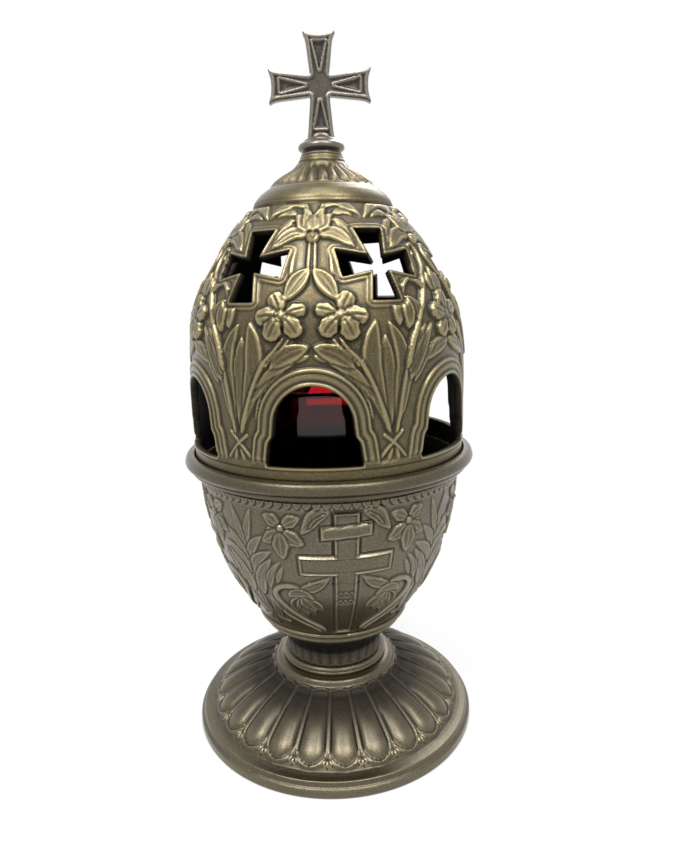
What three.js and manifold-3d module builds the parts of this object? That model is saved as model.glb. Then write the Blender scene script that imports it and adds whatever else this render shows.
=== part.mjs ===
// Vigil lamp: a footed bowl, a pierced egg-shaped lid with a cross finial, a tapered glass
// cup and a floating wick. Millimetres, +Z up, origin on the table under the lamp's axis.
// The lid's front arch faces -Y. Angles run from -Y towards +X.
import * as THREE from 'three';
import { mergeVertices } from 'three/addons/utils/BufferGeometryUtils.js';
import Module from 'manifold-3d';

const wasm = await Module();
wasm.setup();

// Foot casting
const FOOT_RADIUS = 49.7;
const FOOT_EDGE_HEIGHT = 3.3;
const FOOT_STEP_HEIGHT = 1.7;
const FOOT_STEP_WIDTH = 1.3;
const FOOT_TOP = 21.6;
const FOOT_COLLAR_RADIUS = 19.5;
const FOOT_WALL = 2.6;
const GADROONS = 24;
const GADROON_DEPTH = 1.7;
const GADROON_TOP_RADIUS = 23.4;
const GADROON_TOP_DROP = 1.5;
const GADROON_END_RADIUS = 45.6;
const GADROON_TURN = 1.3;

// Bowl casting with its neck
const NECK_RING_RADIUS = 18.7;
const NECK_RING_HEIGHT = 2.9;
const NECK_RADIUS = 17.2;
const NECK_CORE_RADIUS = 10.5;
const NECK_FLUTES = 30;
const NECK_FLUTE_DEPTH = 0.5;
const NECK_FLUTE_TOP = 7.2;
const BOWL_RING_RADIUS = 24.6;
const BOWL_RING_RISE = 17.1;
const BOWL_START_RADIUS = 26.2;
const BOWL_START_RISE = 20.2;
const BOWL_WALL = 2.4;
const BOWL_SHOULDER_RISE = 69.2;
const RIM_RADIUS = 48.9;
const RIM_OVERHANG = 5.1;
const RIM_MOULDING_DROP = 4;
const RIM_BEAD_RADIUS = 2.7;
const RIM_RISE = 75.8;
const SEAT_WIDTH = 3.0;
const WELL_RADIUS = 14;
const WELL_FLOOR_RISE = 20.6;
const GLASS_SEAT_RISE = 24.6;

// Raised cross on the bowl, one on each quarter
const BOWL_PANELS = 4;
const BOWL_PANEL_TURN = 11.5;
const BOWL_CROSS_RELIEF = 0.6;
const BOWL_POST_WIDTH = 7.8;
const BOWL_POST_TOP = 67.5;
const BOWL_BAR_HALF_SPAN = 14.8;
const BOWL_BAR_RISE = 49.6;
const BOWL_BAR_HALF_HEIGHT = 3.8;
const BOWL_BAR_FLARE = 0.4;
const BOWL_PLATE_RISE = 61.3;
const BOWL_PLATE_HALF_HEIGHT = 2;
const BOWL_PLATE_REACH = 3;
const BOWL_PLATE_TILT = 0.7;

// Lid casting: egg-shaped dome with a fluted crown
const LID_CLEARANCE = 0.4;
const LID_WALL = 1.9;
const LID_BAND_HEIGHT = 6;
const DOME_SWELL = 0.1;
const DOME_HEIGHT = 81.4;
const SHOULDER_RADIUS = 21.9;
const SHOULDER_HEIGHT = 4.2;
const CROWN_RADIUS = 17.4;
const CROWN_NECK_RADIUS = 6.9;
const CROWN_HEIGHT = 10.2;
const CROWN_FLUTES = 28;
const CROWN_FLUTE_DEPTH = 0.8;
const CROWN_PLATE = 3.6;

// Windows in the lid
const WINDOWS = 6;
const ARCH_HALF_WIDTH = 11.2;
const ARCH_FOOT_HALF_WIDTH = 13.9;
const ARCH_SHOULDER_HALF_WIDTH = 12.9;
const ARCH_HEIGHT = 23.5;
const ARCH_SHOULDER_RISE = 7.2;
const ARCH_BAND_WIDTH = 5.0;
const ARCH_BAND_RELIEF = 0.6;
const CROSS_HALF_SPAN = 11.4;
const CROSS_END_HALF_WIDTH = 4.4;
const CROSS_WAIST_HALF_WIDTH = 2.4;
const CROSS_RISE = 62.1;
const CROSS_LEAN = 27;

// Cast relief on the lid: placed in degrees from an arch and in height over the seat
const RELIEF_HEIGHT = 1.0;
const RELIEF_ROOT = 0.7;
const LILY_RADIUS = 7;
const LILY_PETALS = 6;
const LILY_SPREAD = 11.6;
const LILY_RISE = 48.6;
const SIDE_LILY_RISE = 47;
const BELL_RISE = 49;
const BLADE_RISE = 19;
const HANGING_LILY_RISE = 69;

// Finial cross
const FINIAL_TURN = 5.5;
const FINIAL_COLLAR_RADIUS = 7.5;
const FINIAL_COLLAR_HEIGHT = 3.6;
const FINIAL_HEIGHT = 36;
const FINIAL_TOP_ARM = 15.3;
const FINIAL_ARM = 15.9;
const FINIAL_END_HALF_WIDTH = 4.95;
const FINIAL_WAIST_HALF_WIDTH = 3.0;
const FINIAL_THICKNESS = 3.8;
const FINIAL_SINK = 0.5;

// Screws and nuts
const TIE_RADIUS = 2.5;
const TIE_HEAD_RADIUS = 4.2;
const TIE_HEAD_HEIGHT = 2.4;
const TIE_NUT_RADIUS = 4.6;
const TIE_NUT_HEIGHT = 4;
const STUD_RADIUS = 2;
const STUD_NUT_RADIUS = 4;
const STUD_NUT_HEIGHT = 3.2;
const WASHER_THICKNESS = 1;
const SCREW_END = 2;
const HOLE_CLEARANCE = 0.4;
const THREAD_CLEARANCE = 0.02;

// Glass cup
const GLASS_HEIGHT = 76.7;
const GLASS_RIM_RADIUS = 33.5;
const GLASS_BASE_RADIUS = 24;
const GLASS_WALL = 2.2;
const GLASS_FLOOR = 5;

// Floating wick
const CORK_RADIUS = 17;
const CORK_HEIGHT = 8;
const PLATE_RADIUS = 15;
const PLATE_THICKNESS = 0.8;
const WICK_TUBE_RADIUS = 2.6;
const WICK_TUBE_WALL = 0.6;
const WICK_TUBE_ABOVE = 3;
const WICK_RADIUS = 1.6;
const WICK_ABOVE = 4;
const WICK_BELOW = 3;
const FLOAT_CLEARANCE = 0.3;

// Levels and radii shared by the pieces
const RIM_TOP = FOOT_TOP + RIM_RISE + RIM_BEAD_RADIUS;
const LID_SEAT = RIM_TOP - RIM_BEAD_RADIUS - 0.2;
const SEAT_OUTER_RADIUS = RIM_RADIUS - 1.22 * RIM_BEAD_RADIUS;
const BOWL_SHOULDER_RADIUS = RIM_RADIUS - RIM_OVERHANG;
const LID_BAND_RADIUS = SEAT_OUTER_RADIUS - LID_CLEARANCE;
const DOME_RADIUS = LID_BAND_RADIUS + DOME_SWELL;
const WELL_FLOOR = FOOT_TOP + WELL_FLOOR_RISE;
const GLASS_SEAT = FOOT_TOP + GLASS_SEAT_RISE;
const SHOULDER_LEVEL = LID_SEAT + DOME_HEIGHT;
const CROWN_EDGE = SHOULDER_LEVEL + SHOULDER_HEIGHT;
const CROWN_TOP = CROWN_EDGE + CROWN_HEIGHT;
const FOOT_PLATE = FOOT_TOP - 1.4 * FOOT_WALL;

// Shaping helpers

// Solid of revolution from (radius, height) points taken counter-clockwise.
function turned(points, segments) {
  const outline = points.map(([r, z]) => new THREE.Vector2(r, z));
  return new THREE.LatheGeometry(outline, segments).rotateX(Math.PI / 2);
}

// The same, where each point may carry a third number: how deep a flute cuts there.
function fluted(points, flutes, stepsPerFlute, hollow) {
  const geometry = turned(points, flutes * stepsPerFlute);
  const position = geometry.attributes.position;
  for (let i = 0; i < position.count; i += 1) {
    const depth = points[i % points.length][2] || 0;
    const angle = Math.atan2(position.getX(i), -position.getY(i));
    const cut = depth * hollow(((angle * flutes) / (2 * Math.PI) + 2 * flutes) % 1);
    const direction = points[i % points.length][3] || [0, -1];
    const radius = Math.hypot(position.getX(i), position.getY(i)) + cut * direction[0];
    position.setXYZ(i, radius * Math.sin(angle), -radius * Math.cos(angle),
      position.getZ(i) + cut * direction[1]);
  }
  return geometry;
}

// Where a point lies between two radii and two heights, by its share of each.
function between([innerRadius, outerRadius], [bottom, top]) {
  return (share, rise) => [
    innerRadius + share * (outerRadius - innerRadius), bottom + rise * (top - bottom),
  ];
}

// Points of a smooth curve through a few given ones.
function smooth(points, steps) {
  const curve = new THREE.SplineCurve(points.map(([r, z]) => new THREE.Vector2(r, z)));
  return curve.getPoints(steps).map((p) => [p.x, p.y]);
}

// The curve a wall's thickness inside one that climbs an outer surface.
function inset(points, distance) {
  return points.map((point, i) => {
    const before = points[Math.max(i - 1, 0)];
    const after = points[Math.min(i + 1, points.length - 1)];
    const along = new THREE.Vector2(after[0] - before[0], after[1] - before[1]).normalize();
    return [point[0] - along.y * distance, point[1] + along.x * distance];
  });
}

function cylinder(radius, bottom, top, segments) {
  return turned([[0, bottom], [radius, bottom], [radius, top], [0, top]], segments);
}

// A flat outline in X and Z, pushed from y = near to y = far.
function slab(outline, near, far) {
  const shape = new THREE.Shape(outline.map(([x, z]) => new THREE.Vector2(x, z)));
  const geometry = new THREE.ExtrudeGeometry(shape, { depth: far - near, bevelEnabled: false });
  return geometry.rotateX(Math.PI / 2).translate(0, far, 0);
}

function hexPrism(radius, bottom, top) {
  return cylinder(radius, bottom, top, 6);
}

function toSolid(geometry) {
  const bare = new THREE.BufferGeometry();
  const loose = geometry.index ? geometry.toNonIndexed() : geometry;
  bare.setAttribute('position', loose.attributes.position.clone());
  const welded = mergeVertices(bare, 1e-4);
  const corners = welded.index.array;
  const triangles = [];
  for (let i = 0; i < corners.length; i += 3) {
    const [a, b, c] = [corners[i], corners[i + 1], corners[i + 2]];
    if (a !== b && b !== c && c !== a) triangles.push(a, b, c);
  }
  return new wasm.Manifold(new wasm.Mesh({
    numProp: 3,
    vertProperties: new Float32Array(welded.attributes.position.array),
    triVerts: new Uint32Array(triangles),
  }));
}

function toGeometry(solid) {
  const mesh = solid.getMesh();
  const geometry = new THREE.BufferGeometry();
  geometry.setAttribute('position', new THREE.BufferAttribute(mesh.vertProperties, mesh.numProp));
  geometry.setIndex(new THREE.BufferAttribute(mesh.triVerts, 1));
  geometry.computeVertexNormals();
  return geometry;
}

function around(geometry, degrees) {
  return geometry.clone().rotateZ(THREE.MathUtils.degToRad(degrees));
}

// Union of copies of a cutter or a raised piece, evenly spaced round the axis.
function ringOf(geometry, count, firstAngle) {
  let all = toSolid(around(geometry, firstAngle));
  for (let i = 1; i < count; i += 1) {
    all = all.add(toSolid(around(geometry, firstAngle + (i * 360) / count)));
  }
  return all;
}

// A cross outline with flared straight-sided arms, as (x, z) points round its centre.
function flaredCross(span, endHalf, waistHalf) {
  const arm = [[waistHalf, waistHalf], [endHalf, span], [-endHalf, span], [-waistHalf, waistHalf]];
  const turns = [[1, 0, 0, 1], [0, -1, 1, 0], [-1, 0, 0, -1], [0, 1, -1, 0]];
  return turns.flatMap(([a, b, c, d]) => arm.slice(0, 3).map(([x, z]) => [a * x + b * z, c * x + d * z]));
}

// Finishes

const bronze = new THREE.MeshStandardMaterial({ color: 0x7d7052, roughness: 0.42, metalness: 0.8 });
const steel = new THREE.MeshStandardMaterial({ color: 0x9a9a98, roughness: 0.35, metalness: 1 });
const ruby = new THREE.MeshStandardMaterial({
  color: 0x8c0a14, roughness: 0.06, metalness: 0, transparent: true, opacity: 0.45,
});
const corkBrown = new THREE.MeshStandardMaterial({ color: 0xa8794a, roughness: 0.9, metalness: 0 });
const brass = new THREE.MeshStandardMaterial({ color: 0xc9a227, roughness: 0.35, metalness: 1 });
const cotton = new THREE.MeshStandardMaterial({ color: 0xe9e2d0, roughness: 0.95, metalness: 0 });

const group = new THREE.Group();
group.name = 'vigil_lamp';

function addPart(name, geometry, material) {
  const mesh = new THREE.Mesh(geometry, material);
  mesh.name = name;
  group.add(mesh);
}

// Foot: gadrooned cast mound on a plain stepped edge, hollow underneath

function footGeometry() {
  const stepRadius = FOOT_RADIUS - FOOT_STEP_WIDTH;
  const border = FOOT_EDGE_HEIGHT + FOOT_STEP_HEIGHT;
  const ends = GADROON_END_RADIUS;
  const crestTop = FOOT_TOP - GADROON_TOP_DROP;
  const on = between([GADROON_TOP_RADIUS, ends], [border, crestTop]);
  const crest = smooth([
    on(0.977, 0.1), on(0.9, 0.212), on(0.748, 0.358), on(0.477, 0.623), on(0.207, 0.848), on(0, 1),
  ], 6);
  const gadroons = crest.map(([r, z], i) => {
    const fade = i === crest.length - 1 ? 0.25 : Math.min(1, (r - GADROON_TOP_RADIUS) / 9 + 0.45);
    return [r, z, GADROON_DEPTH * fade];
  });
  const surface = fluted([
    [0, 0], [FOOT_RADIUS - 0.4, 0], [FOOT_RADIUS, 0.6], [FOOT_RADIUS - 0.1, FOOT_EDGE_HEIGHT - 0.5],
    [FOOT_RADIUS - 0.6, FOOT_EDGE_HEIGHT], [stepRadius, FOOT_EDGE_HEIGHT + 0.4],
    [stepRadius - 0.2, border], [ends, border + 0.3, 1.9, [-1, 0.05]],
    ...gadroons,
    [GADROON_TOP_RADIUS - 0.4, crestTop - 0.5], [FOOT_COLLAR_RADIUS + 1, FOOT_TOP - 0.5],
    [FOOT_COLLAR_RADIUS, FOOT_TOP], [0, FOOT_TOP],
  ], GADROONS, 4, (t) => 0.5 + 0.5 * Math.cos(2 * Math.PI * t));
  const under = inset(crest, FOOT_WALL + GADROON_DEPTH);
  const hollow = turned([
    [0, -1], [FOOT_RADIUS - FOOT_WALL, -1], [FOOT_RADIUS - FOOT_WALL, 1.2],
    ...under.filter(([r, z]) => z > 1.5 && z < FOOT_PLATE - 0.5),
    [GADROON_TOP_RADIUS - FOOT_WALL - 1.5, FOOT_PLATE], [0, FOOT_PLATE],
  ], 48);
  const hole = cylinder(TIE_RADIUS + HOLE_CLEARANCE, FOOT_PLATE - 1, FOOT_TOP + 1, 24);
  return toGeometry(toSolid(around(surface, GADROON_TURN)).subtract(toSolid(hollow)).subtract(toSolid(hole)));
}

// Bowl: neck, ring, cup with a rolled rim, a seat for the lid and one for the glass

const onBowl = between(
  [BOWL_START_RADIUS, BOWL_SHOULDER_RADIUS], [FOOT_TOP + BOWL_START_RISE, FOOT_TOP + BOWL_SHOULDER_RISE]);
const bowlCurve = smooth([
  onBowl(0, 0), onBowl(0.375, 0.212), onBowl(0.648, 0.4), onBowl(0.852, 0.649), onBowl(0.943, 0.812),
  onBowl(1, 1),
], 7);

function rimBead() {
  const centre = [RIM_RADIUS - RIM_BEAD_RADIUS, RIM_TOP - RIM_BEAD_RADIUS];
  const bead = [];
  for (let i = 0; i <= 5; i += 1) {
    const angle = THREE.MathUtils.degToRad(-75 + (i * 165) / 5);
    bead.push([centre[0] + RIM_BEAD_RADIUS * Math.cos(angle), centre[1] + RIM_BEAD_RADIUS * Math.sin(angle)]);
  }
  return bead;
}

function bowlGeometry() {
  const mouldingBase = FOOT_TOP + RIM_RISE - RIM_MOULDING_DROP;
  const inner = inset(bowlCurve, BOWL_WALL);
  const seatInner = SEAT_OUTER_RADIUS - SEAT_WIDTH;
  const neckTop = FOOT_TOP + 7.5;
  const body = fluted([
    [0, FOOT_TOP], [NECK_RING_RADIUS - 0.7, FOOT_TOP], [NECK_RING_RADIUS, FOOT_TOP + 0.8],
    [NECK_RING_RADIUS, FOOT_TOP + 1.8], [NECK_RING_RADIUS - 0.8, FOOT_TOP + NECK_RING_HEIGHT],
    [NECK_RADIUS, FOOT_TOP + NECK_RING_HEIGHT + 0.2, NECK_FLUTE_DEPTH, [-1, 0]],
    [NECK_RADIUS, FOOT_TOP + NECK_FLUTE_TOP, NECK_FLUTE_DEPTH, [-1, 0]],
    [NECK_RADIUS + 0.1, neckTop + 0.2], [NECK_RADIUS + 1.2, FOOT_TOP + 10.4],
    [BOWL_RING_RADIUS - 2, FOOT_TOP + 13.6], [BOWL_RING_RADIUS - 0.2, FOOT_TOP + BOWL_RING_RISE - 1.4],
    [BOWL_RING_RADIUS, FOOT_TOP + BOWL_RING_RISE + 0.8],
    [BOWL_START_RADIUS + 0.4, FOOT_TOP + BOWL_START_RISE - 0.9],
    ...bowlCurve,
    [BOWL_SHOULDER_RADIUS + 0.3, mouldingBase - 1.2], [BOWL_SHOULDER_RADIUS + 1.3, mouldingBase],
    [RIM_RADIUS - 3.2, mouldingBase + 0.6],
    ...rimBead(),
    [0, RIM_TOP],
  ], NECK_FLUTES, 2, (t) => (t < 0.25 || t > 0.75 ? 1 : 0));
  const inside = turned([
    [0, WELL_FLOOR], [WELL_RADIUS, WELL_FLOOR], [WELL_RADIUS, GLASS_SEAT],
    ...inner.filter(([r, z]) => z > GLASS_SEAT + 0.8 && r > GLASS_BASE_RADIUS).slice(0, 1)
      .map(([r]) => [r - 0.6, GLASS_SEAT]),
    ...inner.filter(([r, z]) => z > GLASS_SEAT + 0.8 && r > GLASS_BASE_RADIUS && z < LID_SEAT - 3),
    [seatInner, LID_SEAT - 4], [seatInner, LID_SEAT], [SEAT_OUTER_RADIUS, LID_SEAT],
    [SEAT_OUTER_RADIUS, RIM_TOP - 0.5], [SEAT_OUTER_RADIUS + 0.3, RIM_TOP + 1], [0, RIM_TOP + 1],
  ], 48);
  const neckHollow = turned([
    [0, FOOT_TOP - 1], [NECK_CORE_RADIUS, FOOT_TOP - 1], [NECK_CORE_RADIUS, WELL_FLOOR - 4.4],
    [0, WELL_FLOOR - 3.4],
  ], 36);
  const hole = cylinder(TIE_RADIUS + HOLE_CLEARANCE, WELL_FLOOR - 5, WELL_FLOOR + 1, 20);
  let solid = toSolid(body);
  solid = solid.add(bowlCrosses());
  return toGeometry(solid.subtract(toSolid(inside)).subtract(toSolid(neckHollow)).subtract(toSolid(hole)));
}

// The raised crosses: a long post, a crossbar and a small tilted plate, cut to a thin skin.
function bowlCrosses() {
  const proud = inset(bowlCurve, -BOWL_CROSS_RELIEF);
  const skin = turned([
    [0, bowlCurve[0][1]], ...proud, [0, proud[proud.length - 1][1]],
  ], NECK_FLUTES * 2);
  const half = BOWL_POST_WIDTH / 2;
  const bar = BOWL_BAR_HALF_SPAN;
  const low = FOOT_TOP + BOWL_START_RISE + 2;
  const top = FOOT_TOP + BOWL_POST_TOP;
  const barLevel = FOOT_TOP + BOWL_BAR_RISE;
  const barInner = BOWL_BAR_HALF_HEIGHT - BOWL_BAR_FLARE;
  const barOuter = BOWL_BAR_HALF_HEIGHT;
  const plate = half + BOWL_PLATE_REACH;
  const plateRight = FOOT_TOP + BOWL_PLATE_RISE + BOWL_PLATE_TILT;
  const plateLeft = FOOT_TOP + BOWL_PLATE_RISE - BOWL_PLATE_TILT;
  const plateHalf = BOWL_PLATE_HALF_HEIGHT;
  const outline = [
    [-half, low], [half, low], [half, barLevel - barInner], [bar, barLevel - barOuter],
    [bar, barLevel + barOuter], [half, barLevel + barInner], [half, plateRight - plateHalf],
    [plate, plateRight - plateHalf], [plate, plateRight + plateHalf], [half, plateRight + plateHalf],
    [half, top], [-half, top], [-half, plateLeft + plateHalf], [-plate, plateLeft + plateHalf],
    [-plate, plateLeft - plateHalf], [-half, plateLeft - plateHalf], [-half, barLevel + barInner],
    [-bar, barLevel + barOuter], [-bar, barLevel - barOuter], [-half, barLevel - barInner],
  ];
  const stamp = slab(outline, -BOWL_SHOULDER_RADIUS - 6, -10);
  return ringOf(stamp, BOWL_PANELS, BOWL_PANEL_TURN).intersect(toSolid(skin));
}

// Tie screw that clamps bowl to foot, with washer and nut under the foot

function washer(inner, outer, bottom) {
  const top = bottom + WASHER_THICKNESS;
  return turned([[inner, bottom], [outer, bottom], [outer, top], [inner, top], [inner, bottom]], 24);
}

function nut(bore, radius, bottom, top) {
  const hole = toSolid(cylinder(bore, bottom - 1, top + 1, 24));
  return toGeometry(toSolid(hexPrism(radius, bottom, top)).subtract(hole));
}

const tieNutTop = FOOT_PLATE - WASHER_THICKNESS;
const tieNutBottom = tieNutTop - TIE_NUT_HEIGHT;

function tieBoltGeometry() {
  const head = toSolid(hexPrism(TIE_HEAD_RADIUS, WELL_FLOOR, WELL_FLOOR + TIE_HEAD_HEIGHT));
  const shank = turned([
    [0, tieNutBottom - SCREW_END], [TIE_RADIUS - 0.5, tieNutBottom - SCREW_END],
    [TIE_RADIUS, tieNutBottom - SCREW_END + 0.5], [TIE_RADIUS, WELL_FLOOR + 0.5], [0, WELL_FLOOR + 0.5],
  ], 24);
  return toGeometry(head.add(toSolid(shank)));
}

// Lid: pierced dome and fluted crown

const onDome = between([SHOULDER_RADIUS, DOME_RADIUS], [LID_SEAT, SHOULDER_LEVEL]);
const domeCurve = smooth([
  [DOME_RADIUS - 0.1, LID_SEAT + LID_BAND_HEIGHT], onDome(1, 0.209), onDome(0.996, 0.332), onDome(0.97, 0.46),
  onDome(0.897, 0.59), onDome(0.697, 0.729), onDome(0.406, 0.862), onDome(0.184, 0.941),
  [SHOULDER_RADIUS + 0.4, SHOULDER_LEVEL - 0.9],
], 9);

// Outline of an arched window with stepped feet, grown outwards by a margin.
function archOutline(margin) {
  const sill = LID_SEAT + LID_BAND_HEIGHT - Math.min(margin, 1.5);
  const half = ARCH_HALF_WIDTH + margin;
  const spring = LID_SEAT + LID_BAND_HEIGHT + ARCH_HEIGHT - ARCH_HALF_WIDTH;
  const shoulder = LID_SEAT + LID_BAND_HEIGHT + ARCH_SHOULDER_RISE;
  const outline = [
    [-ARCH_FOOT_HALF_WIDTH - margin, sill], [ARCH_FOOT_HALF_WIDTH + margin, sill],
    [ARCH_SHOULDER_HALF_WIDTH + margin, shoulder], [half + 0.4, shoulder + 1.8],
  ];
  for (let i = 0; i <= 8; i += 1) {
    const angle = (i * Math.PI) / 8;
    outline.push([half * Math.cos(angle), spring + half * Math.sin(angle)]);
  }
  outline.push([-half - 0.4, shoulder + 1.8], [-ARCH_SHOULDER_HALF_WIDTH - margin, shoulder]);
  return outline;
}

function crossCutter() {
  const outline = flaredCross(CROSS_HALF_SPAN, CROSS_END_HALF_WIDTH, CROSS_WAIST_HALF_WIDTH);
  const cutter = slab(outline, -9, 9);
  cutter.rotateX(THREE.MathUtils.degToRad(-CROSS_LEAN));
  const centre = domeCurve.reduce((best, point) => (
    Math.abs(point[1] - LID_SEAT - CROSS_RISE) < Math.abs(best[1] - LID_SEAT - CROSS_RISE) ? point : best));
  return cutter.translate(0, -centre[0] + 0.9, LID_SEAT + CROSS_RISE);
}

function crownSolid() {
  const on = between([CROWN_NECK_RADIUS, CROWN_RADIUS], [CROWN_EDGE, CROWN_TOP]);
  const flank = smooth([
    on(0.952, 0.098), on(0.8, 0.265), on(0.552, 0.441), on(0.248, 0.627), on(0.105, 0.784),
  ], 4).map(([r, z], i) => [r, z, i > 3 ? 0 : CROWN_FLUTE_DEPTH, [-0.5, -0.85]]);
  return toSolid(fluted([
    [0, CROWN_EDGE - 2], [CROWN_RADIUS, CROWN_EDGE - 2], [CROWN_RADIUS, CROWN_EDGE + 0.2],
    ...flank,
    [CROWN_NECK_RADIUS, CROWN_TOP - 0.8], [CROWN_NECK_RADIUS, CROWN_TOP], [0, CROWN_TOP],
  ], CROWN_FLUTES, 3, (t) => (t < 0.1 || t > 0.9 ? 1 : 0)));
}

// A point over the dome's surface, from an angle in degrees and a height over the seat.
function overDome(angle, rise, height) {
  const level = LID_SEAT + rise;
  const i = Math.max(1, domeCurve.findIndex(([, z]) => z >= level));
  const [[r0, z0], [r1, z1]] = [domeCurve[i - 1], domeCurve[i]];
  const climb = new THREE.Vector2(r1 - r0, z1 - z0).normalize();
  const radius = r0 + ((r1 - r0) * (level - z0)) / (z1 - z0) + height * climb.y;
  const turn = THREE.MathUtils.degToRad(angle);
  return [radius * Math.sin(turn), -radius * Math.cos(turn), level - height * climb.x];
}

function millimetresPerDegree(rise) {
  return THREE.MathUtils.degToRad(1) * Math.hypot(...overDome(0, rise, 0).slice(0, 2));
}

function facetedPiece(corners, faces) {
  const geometry = new THREE.BufferGeometry();
  geometry.setAttribute('position', new THREE.Float32BufferAttribute(corners.flat(), 3));
  geometry.setIndex(faces);
  return geometry;
}

// A ridged leaf along a path of (degrees, height over the seat). Its edges and both its tips
// are rooted in the wall, so its corners are: tip, twice left, ridge and right, then tip.
function leaf(path, width) {
  const curve = new THREE.SplineCurve(path.map(([angle, rise]) => new THREE.Vector2(angle, rise)));
  const corners = [];
  for (const [share, fullness] of [[0, 0], [0.22, 0.75], [0.75, 0.8], [1, 0]]) {
    const spot = curve.getPoint(share);
    const perDegree = millimetresPerDegree(spot.y);
    const ahead = curve.getTangent(share);
    const along = new THREE.Vector2(ahead.x * perDegree, ahead.y).normalize();
    const half = (width / 2) * fullness;
    if (fullness === 0) {
      corners.push(overDome(spot.x, spot.y, -RELIEF_ROOT));
    } else {
      const [dx, dy] = [(along.y * half) / perDegree, along.x * half];
      corners.push(overDome(spot.x - dx, spot.y + dy, -RELIEF_ROOT), overDome(spot.x, spot.y, RELIEF_HEIGHT),
        overDome(spot.x + dx, spot.y - dy, -RELIEF_ROOT));
    }
  }
  const leftFace = [0, 2, 1, 1, 2, 5, 1, 5, 4, 4, 5, 7];
  const rightFace = [0, 3, 2, 2, 3, 6, 2, 6, 5, 5, 6, 7];
  const root = [0, 1, 3, 1, 4, 6, 1, 6, 3, 4, 7, 6];
  return facetedPiece(corners, [...leftFace, ...rightFace, ...root]);
}

// The same leaf on both sides of an arch or a pier.
function leafPair(middle, path, width) {
  return [-1, 1].map((side) => leaf(path.map(([angle, rise]) => [middle + side * angle, rise]), width));
}

// An open lily: ridged petals that part from each other near its eye.
function lily(angle, rise) {
  const perDegree = millimetresPerDegree(rise);
  const spot = (turn, reach, height) => overDome(
    angle + (reach * Math.sin(turn)) / perDegree, rise + reach * Math.cos(turn), height);
  const corners = [spot(0, 0, RELIEF_HEIGHT), spot(0, 0, -RELIEF_ROOT)];
  const faces = [];
  for (let i = 0; i < LILY_PETALS; i += 1) {
    const turn = (i * 2 * Math.PI) / LILY_PETALS;
    corners.push(
      spot(turn, LILY_RADIUS, -RELIEF_ROOT), spot(turn, 0.65 * LILY_RADIUS, RELIEF_HEIGHT),
      spot(turn + Math.PI / LILY_PETALS, 0.4 * LILY_RADIUS, -RELIEF_ROOT),
    );
    const [tip, ridge, parting] = [2 + 3 * i, 3 + 3 * i, 4 + 3 * i];
    const before = 2 + 3 * ((i + LILY_PETALS - 1) % LILY_PETALS) + 2;
    faces.push(
      0, parting, ridge, parting, tip, ridge, 0, ridge, before, ridge, tip, before,
      1, tip, parting, 1, before, tip,
    );
  }
  return facetedPiece(corners, faces);
}

// Two lilies over every other arch and one over the rest, blades on the piers between them,
// and the leaves of a hanging lily between the crosses.
function lidRelief() {
  const pieces = [];
  const pier = 180 / WINDOWS;
  const low = BLADE_RISE;
  const top = HANGING_LILY_RISE;
  for (let i = 0; i < WINDOWS; i += 1) {
    const arch = (i * 360) / WINDOWS;
    pieces.push(
      ...leafPair(arch, [[2.6, top], [10, top + 1], [20.6, top - 3]], 5.5),
      ...leafPair(arch, [[0.8, top + 0.6], [4.4, top + 4.6], [9.4, top + 8]], 4.5),
    );
    if (i % 2 === 0) {
      pieces.push(
        lily(arch - LILY_SPREAD, LILY_RISE), lily(arch + LILY_SPREAD, LILY_RISE),
        ...leafPair(arch, [[0.3, LILY_RISE + 11], [5.6, LILY_RISE + 7.8], [10.4, LILY_RISE + 2.6]], 6),
        ...leafPair(arch, [[pier + 0.2, low], [pier + 3.4, low + 14], [pier - 0.6, low + 26.4]], 6),
        ...leafPair(arch, [[pier - 2.2, low + 1], [pier - 7.6, low + 15], [pier - 6, low + 27]], 7.5),
        ...leafPair(arch, [[pier + 2, low + 2.4], [pier + 8.4, low + 17], [pier + 18.4, low + 27.6]], 5),
      );
    } else {
      pieces.push(
        lily(arch, SIDE_LILY_RISE),
        ...leafPair(arch, [[22.6, BELL_RISE + 4], [22.2, BELL_RISE], [22.6, BELL_RISE - 4]], 6),
        ...leafPair(arch, [[22.4, low + 17], [17.4, low + 26.4], [10, low + 36.6]], 4),
      );
    }
  }
  return wasm.Manifold.union(pieces.map(toSolid));
}

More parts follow.
